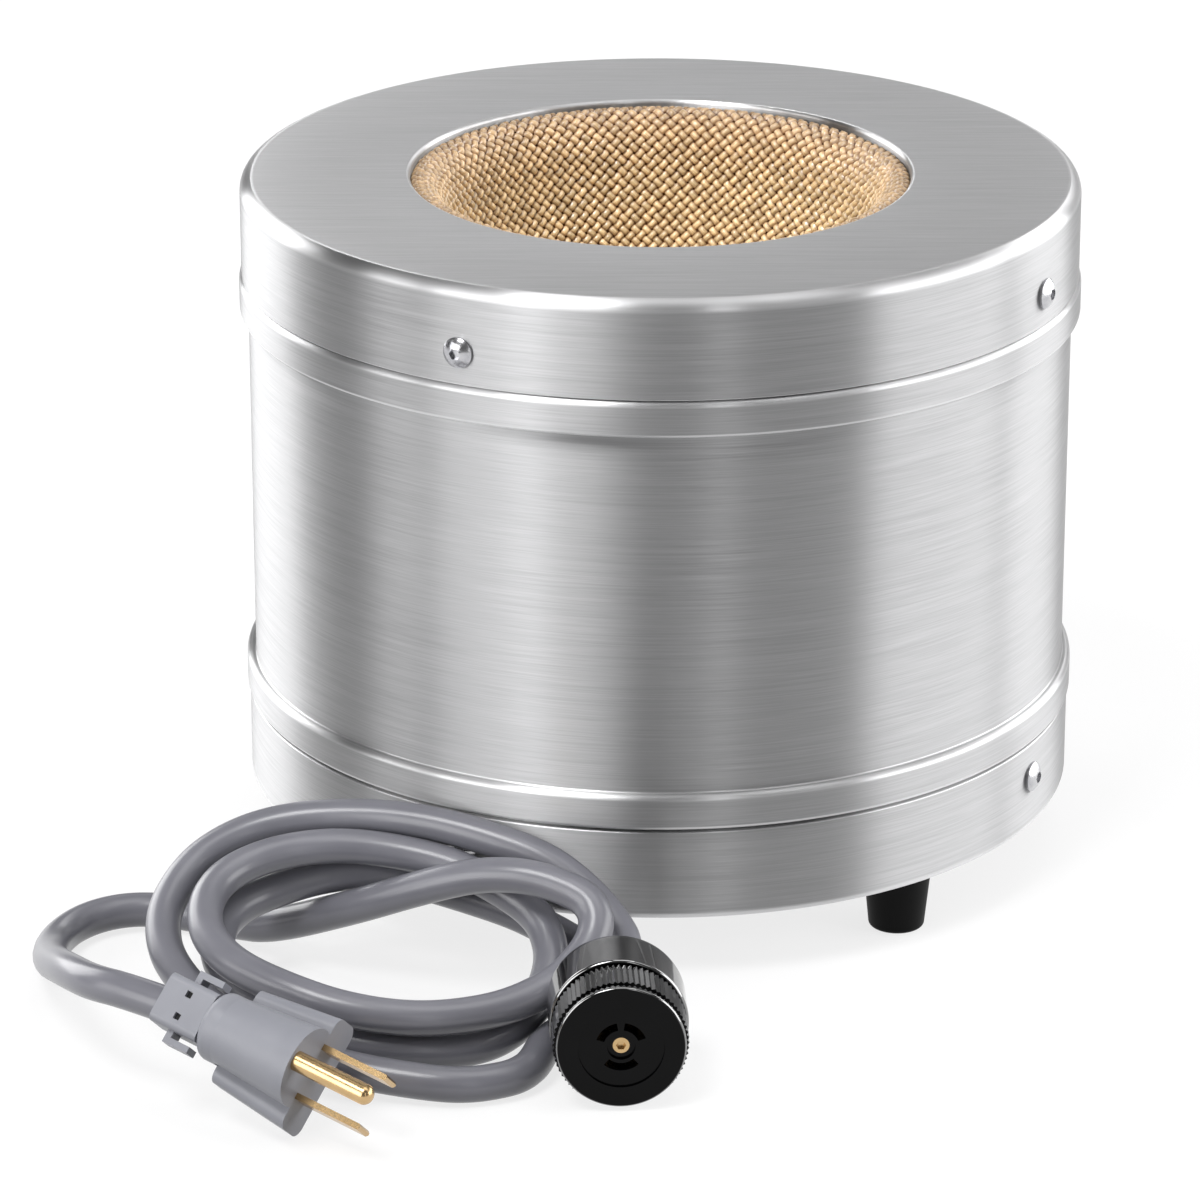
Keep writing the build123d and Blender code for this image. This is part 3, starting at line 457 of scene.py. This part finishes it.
def rounded_corners(corners):
    """Points of a closed profile whose (radius, height, rounding) corners, in millimetres, are rounded."""
    points = []
    for index, (radius, height, rounding) in enumerate(corners):
        corner = Vector((radius, height))
        before = (Vector(corners[index - 1][:2]) - corner).normalized()
        after = (Vector(corners[(index + 1) % len(corners)][:2]) - corner).normalized()
        if not rounding:
            points.append(corner)
            continue
        half = before.angle(after) / 2
        centre = corner + (before + after).normalized() * rounding / sin(half)
        start, end = corner + before * rounding / tan(half), corner + after * rounding / tan(half)
        for step in range(FILLET_STEPS + 1):
            spoke = (start - centre).lerp(end - centre, step / FILLET_STEPS).normalized()
            points.append(centre + spoke * rounding)
    return points


def spun(name, corners, material, node, opening=False):
    """Sheet spun about Z from its closed profile, in a CAD node's place; opening cuts the inlet's hole."""
    profile = rounded_corners(corners)
    count = len(profile)
    rows = []
    if opening:
        rows = [index for index, p in enumerate(profile) if abs(p.y - INLET_HEIGHT) < 2 * INLET_BAND]
    reaches = []
    points, faces = [], []
    for turn in range(TURNS):
        angle = 2 * pi * turn / TURNS
        across = BODY_RADIUS * cos(angle)
        inside = sin(angle) > 0 and abs(across) < INLET_OPENING
        reaches.append(max(INLET_BAND, sqrt(INLET_OPENING**2 - across**2)) if inside else 0)
        for index, p in enumerate(profile):
            height = p.y
            if index in rows and inside:
                height = INLET_HEIGHT + (1 if p.y > INLET_HEIGHT else -1) * reaches[turn]
            points.append((MM * p.x * cos(angle), MM * p.x * sin(angle), MM * height))
    for turn in range(TURNS):
        here, there = turn * count, (turn + 1) % TURNS * count
        cut = rows and reaches[turn] and reaches[(turn + 1) % TURNS]
        for index in range(count):
            following = (index + 1) % count
            if not (cut and index in rows and following in rows):
                faces.append((here + index, there + index, there + following, here + following))
        if cut:
            for outer, inner in ((rows[0], rows[3]), (rows[2], rows[1])):
                faces.append((here + outer, here + inner, there + inner, there + outer))
    piece = mesh_piece(name, points, faces, material, "brushed_aluminium")
    piece.data.set_sharp_from_angle(angle=radians(SHARP_EDGE))
    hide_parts(node)


spun(
    "spun_top_cover",
    [
        (COVER_RADIUS, COVER_EDGE, 0.3),
        (COVER_RADIUS, COVER_TOP, 3.5),
        (OPENING, COVER_TOP, 1.1),
        (OPENING, OPENING_EDGE, 0.4),
        (OPENING + SHEET, OPENING_EDGE, 0),
        (OPENING + SHEET, COVER_TOP - SHEET, 0.9),
        (COVER_RADIUS - SHEET, COVER_TOP - SHEET, 2.1),
        (COVER_RADIUS - SHEET, COVER_EDGE, 0),
    ],
    TOP_ALUMINIUM,
    "top_cover",
)
spun(
    "beaded_body",
    [
        (BODY_RADIUS, BODY_BOTTOM, 0),
        (BODY_RADIUS, LOW_BEAD_BOTTOM, 0.25),
        (BEAD_RADIUS, LOW_BEAD_BOTTOM, 1.1),
        (BEAD_RADIUS, LOW_BEAD_TOP, 1.5),
        (BODY_RADIUS, LOW_BEAD_TOP, 0.4),
        (BODY_RADIUS, INLET_LOW, 0),
        (BODY_RADIUS, INLET_HIGH, 0),
        (BODY_RADIUS, HIGH_BEAD_BOTTOM, 0.4),
        (BEAD_RADIUS, HIGH_BEAD_BOTTOM, 1.0),
        (BEAD_RADIUS, HIGH_BEAD_TOP, 1.6),
        (BODY_RADIUS, HIGH_BEAD_TOP, 0.3),
        (BODY_RADIUS, BODY_TOP, 0),
        (BODY_INSIDE, BODY_TOP, 0),
        (BODY_INSIDE, INLET_HIGH, 0),
        (BODY_INSIDE, INLET_LOW, 0),
        (BODY_INSIDE, BODY_BOTTOM, 0),
    ],
    ALUMINIUM,
    "body_shell",
    opening=True,
)
spun(
    "bottom_pan",
    [
        (PAN_MIDDLE, PAN_BOTTOM, 0),
        (COVER_RADIUS, PAN_BOTTOM, 2.2),
        (COVER_RADIUS, PAN_EDGE, 0.35),
        (COVER_RADIUS - SHEET, PAN_EDGE, 0),
        (COVER_RADIUS - SHEET, PAN_BOTTOM + SHEET, 0.8),
        (PAN_MIDDLE, PAN_BOTTOM + SHEET, 0),
    ],
    ALUMINIUM,
    "bottom_cover",
)

# ------------------------------------------------------------------ woven well, metres
YARN_PITCH = 0.00311        # between floats in one round of the weave
ROUND_FLOATS = 108
FIRST_ROUND = -0.0012       # how far outside the lip's crown the weave starts
FLOAT_LIFT = 0.0009         # crown of a float over the cloth behind it
FLOAT_LENGTH = 1.30         # of a float, in row steps along its yarn
FLOAT_WIDTH = 0.92          # as a share of the room between two yarns
FLOAT_SINK = 0.25           # how far its rim lies under the cloth's face, as a share of its lift
FLOAT_TAPER = 0.62          # how strongly its ends draw in
SLANT = radians(45)
UNEVEN_PLACE = 0.06         # how unevenly the floats lie, as shares of their pitch, length, slant and lift
UNEVEN_LENGTH = 0.1
UNEVEN_SLANT = 0.12
UNEVEN_LIFT = 0.3
DARKEST_FLOAT = 0.64        # against 1 for the lightest
LIP_DEPTH = 1.3             # in lip arcs from the crown, where the bowl's full tone is reached
LIP_CROWN_RADIUS = 0.0606   # the cloth bulges up inside the opening
LIP_EDGE = 0.0015           # its outer edge turns down along the cover's rolled rim
LIP_REACH = LIP_CROWN_RADIUS - BOWL_RADIUS
LIP_RISE = 0.0109
LIP_STEPS = 64
CAP_LATITUDE = 58.0         # where the straight weave of the bottom takes over
ALONG, ACROSS = 5, 4        # facets of a float
LEAST_RADIUS = 0.004        # of a round of floats, near the bowl's pole


def lip_table():
    """Distances down the lip's inner face, with radius, height and outward normal at each."""
    table, travelled, before = [], 0.0, None
    for step in range(LIP_STEPS + 1):
        turn = pi / 2 * step / LIP_STEPS
        radius, height = LIP_CROWN_RADIUS - LIP_REACH * sin(turn), BOWL_Z + LIP_RISE * cos(turn)
        slope = Vector((-sin(turn) / LIP_REACH, cos(turn) / LIP_RISE)).normalized()
        if before:
            travelled += sqrt((radius - before[0]) ** 2 + (height - before[1]) ** 2)
        table.append((travelled, radius, height, tuple(slope)))
        before = (radius, height)
    return table


LIP_TABLE = lip_table()
LIP_ARC = LIP_TABLE[-1][0]


def well_point(travelled):
    """Radius, height and outward normal (radial, up) of the cloth's face, so far from the lip's crown."""
    if travelled < 0:
        turn = min(-travelled / LIP_EDGE, pi / 2)
        return (
            LIP_CROWN_RADIUS + LIP_EDGE * sin(turn),
            BOWL_Z + LIP_RISE - LIP_EDGE * (1 - cos(turn)),
            (sin(turn), cos(turn)),
        )
    if travelled < LIP_ARC:
        place = min(LIP_STEPS - 1, int(travelled / LIP_ARC * LIP_STEPS))
        while LIP_TABLE[place][0] > travelled:
            place -= 1
        while LIP_TABLE[place + 1][0] < travelled:
            place += 1
        here, after = LIP_TABLE[place], LIP_TABLE[place + 1]
        share = (travelled - here[0]) / (after[0] - here[0])
        radius, height = (here[k] + share * (after[k] - here[k]) for k in (1, 2))
        return radius, height, here[3]
    angle = (travelled - LIP_ARC) / BOWL_RADIUS
    return BOWL_RADIUS * cos(angle), BOWL_Z - BOWL_RADIUS * sin(angle), (-cos(angle), sin(angle))


def well_surface(azimuth, travelled, lift):
    """Point over the cloth's face."""
    radius, height, (out, up) = well_point(travelled)
    radius += out * lift
    return (radius * cos(azimuth), radius * sin(azimuth), height + up * lift)


class FloatMesh:
    """Pillow-shaped floats of yarn gathered into one mesh, each with its strands' direction and tone."""

    def __init__(self):
        self.points, self.faces, self.places, self.tones = [], [], [], []

    def add(self, surface, centre, length, width, slant, lift, tone):
        """One float: surface(u, v, lift) gives a point for offsets in metres from the centre."""
        first = len(self.points)
        for row in range(ACROSS + 1):
            across = 2 * row / ACROSS - 1
            for column in range(ALONG + 1):
                along = 2 * column / ALONG - 1
                taper = sqrt(1 - FLOAT_TAPER * along**4)
                a, b = along * length / 2, across * width / 2 * taper
                u = a * cos(slant) - b * sin(slant)
                v = a * sin(slant) + b * cos(slant)
                crown = (1 - along**4) * sqrt(1 - across**2)
                self.points.append(surface(centre, u, v, lift * (crown - FLOAT_SINK)))
                self.places.append((column / ALONG, row / ACROSS))
                self.tones.append(tone)
        stride = ALONG + 1
        for row in range(ACROSS):
            for column in range(ALONG):
                corner = first + row * stride + column
                self.faces.append((corner, corner + 1, corner + stride + 1, corner + stride))

    def build(self, name):
        piece = mesh_piece(name, self.points, self.faces, YARN, "woven_glass")
        mesh = piece.data
        layer = mesh.uv_layers.new(name="float")
        tone = mesh.color_attributes.new("tone", "FLOAT_COLOR", "POINT")
        for loop in mesh.loops:
            layer.data[loop.index].uv = self.places[loop.vertex_index]
        for index, value in enumerate(self.tones):
            tone.data[index].color = (*value, 1.0)
        return piece


def on_well(centre, u, v, lift):
    """Rounds of the weave, laid by azimuth and by the distance from the lip's crown."""
    azimuth, travelled = centre
    radius = max(well_point(travelled)[0], LEAST_RADIUS)
    return well_surface(azimuth + u / radius, travelled + v, lift)


def on_cap(centre, u, v, lift):
    """Straight weave of the bowl's bottom, laid on the sphere by its distance from the centre."""
    x, y = centre[0] + u, centre[1] + v
    reach = sqrt(x * x + y * y)
    azimuth = atan2(y, x)
    return well_surface(azimuth, LIP_ARC + BOWL_RADIUS * pi / 2 - reach, lift)


def float_tone(depth):
    """Random place for the strands, how deep in the well, and how light this float is."""
    return rng.random(), depth, DARKEST_FLOAT + (1 - DARKEST_FLOAT) * rng.random()


def uneven(share):
    """Factor about 1 that varies at random, by that share in all."""
    return 1 + share * (rng.random() - 0.5)


well_depth = LIP_ARC + BOWL_RADIUS * pi / 2
cap_reach = BOWL_RADIUS * radians(90 - CAP_LATITUDE)
rising, falling = FloatMesh(), FloatMesh()


def weave_rounds():
    """Floats of the lip and the bowl's side, round by round, with the two families in turn."""
    travelled, row = FIRST_ROUND, 0
    while travelled < well_depth - cap_reach + YARN_PITCH / 4:
        radius = well_point(travelled)[0]
        pitch = 2 * pi * radius / ROUND_FLOATS
        step = (pitch + YARN_PITCH) / 4
        family, slant = (rising, SLANT) if row % 2 else (falling, -SLANT)
        depth = min(1.0, max(0.0, travelled / (LIP_DEPTH * LIP_ARC)))
        for column in range(ROUND_FLOATS):
            azimuth = 2 * pi * (column + 0.5 * (row % 2)) / ROUND_FLOATS
            aside, down = (UNEVEN_PLACE * YARN_PITCH * (rng.random() - 0.5) for _ in range(2))
            family.add(
                on_well,
                (azimuth + aside / radius, travelled + down),
                sqrt(2) * step * FLOAT_LENGTH * uneven(UNEVEN_LENGTH),
                pitch / sqrt(2) * FLOAT_WIDTH,
                slant * uneven(UNEVEN_SLANT),
                FLOAT_LIFT * uneven(UNEVEN_LIFT),
                float_tone(depth),
            )
        travelled += step
        row += 1


def weave_cap():
    """Floats of the straight weave that closes the bowl's bottom."""
    half = YARN_PITCH / 2
    count = int(cap_reach / half) + 2
    for i in range(-count, count + 1):
        for j in range(-count, count + 1):
            if (i + j) % 2 or sqrt((i * half) ** 2 + (j * half) ** 2) > cap_reach:
                continue
            family, slant = (rising, SLANT) if i % 2 else (falling, -SLANT)
            family.add(
                on_cap,
                (i * half, j * half),
                sqrt(2) * half * FLOAT_LENGTH,
                YARN_PITCH / sqrt(2) * FLOAT_WIDTH,
                slant,
                FLOAT_LIFT,
                float_tone(1.0),
            )


weave_rounds()
weave_cap()
rising_floats = rising.build("woven_floats_rising")
falling_floats = falling.build("woven_floats_falling")

ROUNDS, SEGMENTS = 72, 144
FLANGE_RADIUS = 0.072       # of the cloth that the cover clamps
FLANGE_SINK = 0.0003        # under the top of the cloth
CLOTH_SINK = 0.0004         # under the face that the floats lie on


def cloth_rings():
    """Radius and height of each ring of the cloth under the floats, from its flange to the bowl's pole."""
    rings = [(radius, CLOTH_TOP_Z - FLANGE_SINK) for radius in (FLANGE_RADIUS, OPENING_RADIUS)]
    outermost = -LIP_EDGE * pi / 2
    for ring in range(ROUNDS):
        radius, height, (out, up) = well_point(outermost + (well_depth - outermost) * ring / ROUNDS)
        rings.append((radius - CLOTH_SINK * out, height - CLOTH_SINK * up))
    return rings


def cloth_under_floats():
    """Points and faces of the cloth under the floats, whose dark colour is painted shade where it shows between
    them.
    """
    rings = cloth_rings()
    points, faces = [], []
    for radius, height in rings:
        for segment in range(SEGMENTS):
            turn = 2 * pi * segment / SEGMENTS
            points.append((radius * cos(turn), radius * sin(turn), height))
    for ring in range(len(rings) - 1):
        for segment in range(SEGMENTS):
            a, b = ring * SEGMENTS + segment, ring * SEGMENTS + (segment + 1) % SEGMENTS
            faces.append((a, b, b + SEGMENTS, a + SEGMENTS))
    bottom, last = len(points), len(points) - SEGMENTS
    points.append((0, 0, BOWL_Z - BOWL_RADIUS - FLANGE_SINK))
    for segment in range(SEGMENTS):
        faces.append((last + segment, last + (segment + 1) % SEGMENTS, bottom))
    return points, faces


under_cloth = mesh_piece("well_under_cloth", *cloth_under_floats(), SHADE_PAINTED_CLOTH, "woven_glass")
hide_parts("woven_liner")

# ------------------------------------------------------------------ power cord
# Its middle line in millimetres, from the connector's neck to the plug's clamp: round the loose coil, then over
# it as the crossing strand that runs out to the plug.
CORD_POINTS = [
    (-11.7, -142.3, 16.4), (-8.8, -132.5, 15.6), (-9.2, -124.0, 19.0), (-10.7, -120.9, 20.7),
    (-14.7, -115.2, 24.5), (-22.3, -109.8, 30.0), (-30.0, -106.2, 33.8), (-42.7, -101.6, 36.7),
    (-55.8, -96.5, 38.2), (-69.7, -92.1, 38.2), (-85.3, -89.5, 36.8), (-96.9, -90.1, 34.9),
    (-106.6, -93.3, 32.0), (-114.7, -99.5, 28.0), (-120.1, -110.9, 22.6), (-120.2, -121.0, 18.6),
    (-117.0, -130.9, 15.3), (-106.8, -145.8, 10.9), (-91.8, -158.4, 7.9), (-74.2, -167.6, 6.2),
    (-55.8, -172.3, 5.1), (-45.9, -172.4, 4.4), (-36.6, -169.0, 4.4), (-32.7, -165.1, 4.4),
    (-30.3, -159.9, 4.4), (-28.1, -149.9, 4.4), (-22.3, -140.5, 4.4), (-15.2, -132.2, 5.0),
    (-11.3, -124.9, 6.3), (-11.9, -118.6, 8.2), (-16.2, -113.4, 10.6), (-24.3, -108.9, 13.8),
    (-29.4, -106.6, 15.7), (-36.7, -103.7, 18.2), (-48.5, -99.8, 20.7), (-59.0, -96.7, 22.7),
    (-72.6, -94.6, 24.6), (-83.8, -95.6, 23.6), (-93.9, -99.3, 21.7), (-101.3, -104.5, 20.5),
    (-106.0, -111.7, 18.8), (-107.4, -118.1, 17.3), (-106.0, -128.5, 14.6), (-98.9, -140.0, 11.6),
    (-88.3, -148.9, 8.9), (-74.0, -154.7, 6.7), (-62.0, -156.0, 5.7), (-50.7, -154.4, 4.6),
    (-41.3, -150.2, 4.4), (-33.9, -143.4, 6.4), (-28.6, -135.0, 10.5), (-26.5, -126.9, 15.4),
    (-27.5, -121.3, 19.2), (-29.9, -116.7, 22.3), (-35.4, -112.0, 25.2), (-45.2, -106.5, 28.9),
    (-53.5, -103.2, 31.0), (-64.8, -100.4, 32.5), (-76.9, -99.3, 33.6), (-88.0, -100.3, 33.2),
    (-97.9, -103.7, 32.0), (-105.6, -109.6, 30.0), (-109.5, -117.2, 27.4), (-109.7, -126.5, 24.6),
    (-106.3, -135.2, 22.4), (-99.7, -143.5, 20.6), (-87.3, -151.9, 18.7), (-76.4, -156.1, 16.6),
    (-63.7, -157.7, 14.8), (-51.6, -156.2, 13.9), (-37.8, -151.2, 14.1), (-27.2, -144.5, 16.3),
    (-22.0, -140.3, 18.9), (-17.2, -134.9, 23.2), (-15.7, -130.7, 27.1), (-17.1, -127.2, 30.2),
    (-20.6, -124.7, 32.2), (-28.1, -121.5, 34.0), (-36.2, -118.8, 34.4), (-46.5, -115.5, 32.6),
    (-60.2, -110.5, 26.7), (-74.4, -103.1, 18.9), (-96.0, -88.6, 7.0), (-104.8, -81.7, 5.2),
    (-113.5, -76.7, 4.4), (-122.3, -73.5, 4.7), (-131.4, -73.4, 5.0), (-139.5, -76.7, 4.8),
    (-145.5, -82.8, 4.4), (-149.0, -92.5, 4.6), (-149.0, -105.0, 7.0), (-147.0, -119.5, 11.8),
    (-143.8, -133.4, 17.2), (-139.6, -146.8, 21.6), (-133.6, -158.6, 24.4), (-124.9, -165.8, 25.6),
    (-106.6, -176.2, 23.5),
]


def cord_curve(name, points, radius, material):
    """Round cord on one smooth line that follows the points, given in millimetres."""
    curve = bpy.data.curves.new(name, "CURVE")
    curve.dimensions = "3D"
    curve.bevel_depth = radius
    curve.bevel_resolution = 8
    curve.resolution_u = 14
    curve.use_fill_caps = True
    spline = curve.splines.new("NURBS")
    spline.points.add(len(points) - 1)
    for spot, place in zip(spline.points, points):
        spot.co = (*(MM * value for value in place), 1)
    spline.order_u = 3
    spline.use_endpoint_u = True
    curve.materials.append(material)
    piece = bpy.data.objects.new(name, curve)
    scene.collection.objects.link(piece)
    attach(piece, "root")
    return piece


power_cord = cord_curve("power_cord", CORD_POINTS, CORD_RADIUS, CORD_JACKET)
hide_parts("cord_coil", "plug_lead", "connector_lead")

# ------------------------------------------------------------------ dark plates in the clamp's two windows: painted shade
CLAMP_TOP = 0.0088          # these are metres along the plug's own directions
CLAMP_MIDDLE = -0.0335
WINDOW_SIDE = 0.0016
WINDOW_SPACING = 0.0057
WINDOW_DEPTH = 0.0010
window_points, window_faces = [], []
for side in (-1, 1):
    first = len(window_points)
    for a, b in ((-1, -1), (1, -1), (1, 1), (-1, 1)):
        window_points.append(
            PLUG_ORIGIN
            + PLUG_X * (side * WINDOW_SPACING / 2 + a * WINDOW_SIDE / 2)
            + PLUG_Y * (CLAMP_TOP - WINDOW_DEPTH)
            + PLUG_Z * (CLAMP_MIDDLE + b * WINDOW_SIDE / 2)
        )
    window_faces.append((first, first + 1, first + 2, first + 3))
# Black plates just under the top of the clamp, in its two windows: painted shade where the windows look in.
mesh_piece("clamp_window_painted_shade", window_points, window_faces, GLOSS_BLACK, "grey_moulding", smooth=False)

# ------------------------------------------------------------------ studio
CAMERA_PLACE = (-0.01572, -1.3992, 0.59915)
CAMERA_DOWN = 21.112        # degrees under the horizon
CAMERA_ASIDE = 0.027
CAMERA_LENS = 175.23
CAMERA_SENSOR = 36.0
FLOOR_SIZE = 8.0
FLOOR_COLOUR = (0.22, 0.22, 0.221, 1)
FLOOR_GLOW = 0.76           # of white, for what looks at the floor; it lights nothing dull
ROOM_LIGHT = 0.12
WHITE = (1, 1, 1, 1)
LIT_MIDDLE = (0, 0, 0.1)    # where the softboxes point
SPOT_BLEND = 0.4
SPOT_RADIUS = 0.03

camera_data = bpy.data.cameras.new("studio_camera")
camera_data.lens = CAMERA_LENS
camera_data.sensor_width = CAMERA_SENSOR
camera = bpy.data.objects.new("studio_camera", camera_data)
camera.location = CAMERA_PLACE
camera.rotation_euler = (radians(90 - CAMERA_DOWN), 0.0, radians(-CAMERA_ASIDE))
scene.collection.objects.link(camera)
scene.camera = camera

floor_mesh = bpy.data.meshes.new("studio_floor")
floor_corners = [(x * FLOOR_SIZE / 2, y * FLOOR_SIZE / 2, 0) for x, y in ((-1, -1), (1, -1), (1, 1), (-1, 1))]
floor_mesh.from_pydata(floor_corners, [], [(0, 1, 2, 3)])
floor = bpy.data.objects.new("studio_floor", floor_mesh)
scene.collection.objects.link(floor)
floor_material, floor_tree, floor_shader = new_material(
    "pale studio floor",
    Roughness=0.9,
    Specular_IOR_Level=0.1,
    Base_Color=FLOOR_COLOUR,
    Emission_Color=WHITE,
)
rays = floor_tree.nodes.new("ShaderNodeLightPath").outputs
seen = computed(floor_tree, "MAXIMUM", rays["Is Camera Ray"], rays["Is Glossy Ray"])
seen = computed(floor_tree, "MAXIMUM", seen, rays["Is Transmission Ray"])
glow = computed(floor_tree, "MULTIPLY", seen, FLOOR_GLOW)
floor_tree.links.new(glow, floor_shader.inputs["Emission Strength"])
floor_mesh.materials.append(floor_material)

world = bpy.data.worlds.new("studio")
scene.world = world
world.use_nodes = True
backdrop = world.node_tree.nodes["Background"]
backdrop.inputs["Color"].default_value = WHITE
backdrop.inputs["Strength"].default_value = ROOM_LIGHT


def place_lamp(name, lamp, azimuth, elevation, distance, target):
    """Lamp that faces the target; azimuth 0 is in front, counted towards +X."""
    place = bpy.data.objects.new(name, lamp)
    turn, rise = radians(azimuth), radians(elevation)
    outwards = Vector((sin(turn) * cos(rise), -cos(turn) * cos(rise), sin(rise)))
    place.location = Vector(target) + distance * outwards
    place.rotation_euler = outwards.to_track_quat("Z", "Y").to_euler()
    place.visible_camera = False
    scene.collection.objects.link(place)


def softbox(name, azimuth, elevation, distance, width, height, radiance):
    """Area lamp that faces the housing."""
    lamp = bpy.data.lights.new(name, "AREA")
    lamp.shape = "RECTANGLE"
    lamp.size, lamp.size_y = width, height
    lamp.energy = radiance * pi * width * height
    place_lamp(name, lamp, azimuth, elevation, distance, LIT_MIDDLE)


def well_spot(name, azimuth, elevation, distance, cone, power):
    """Narrow spot that lights the well alone and brings out the crowns of the floats."""
    lamp = bpy.data.lights.new(name, "SPOT")
    lamp.energy = power
    lamp.spot_size = radians(cone)
    lamp.spot_blend = SPOT_BLEND
    lamp.shadow_soft_size = SPOT_RADIUS
    place_lamp(name, lamp, azimuth, elevation, distance, (0, 0, CLOTH_TOP_Z))


well_spot("well_spot", -34, 60, 1.7, 4.0, 72)
softbox("front_left_softbox", -46, 14, 1.7, 0.95, 1.0, 4.4)
softbox("left_softbox", -74, 14, 1.7, 0.50, 1.0, 2.6)
softbox("right_softbox", 79, 14, 1.7, 1.35, 1.0, 4.3)
softbox("rear_left_softbox", -132, 16, 1.7, 1.10, 1.1, 4.2)
softbox("rear_right_softbox", 121, 16, 1.7, 0.95, 1.1, 3.8)
softbox("front_strip", 16, 20, 1.8, 0.22, 1.1, 1.9)
softbox("rear_softbox", 166, 26, 1.7, 1.1, 0.6, 2.1)
softbox("overhead_softbox", 90, 82, 1.7, 1.0, 0.8, 2.3)
softbox("upper_left_softbox", -36, 58, 1.7, 0.6, 0.6, 14.0)
softbox("upper_right_softbox", 70, 58, 1.7, 0.8, 0.8, 1.4)
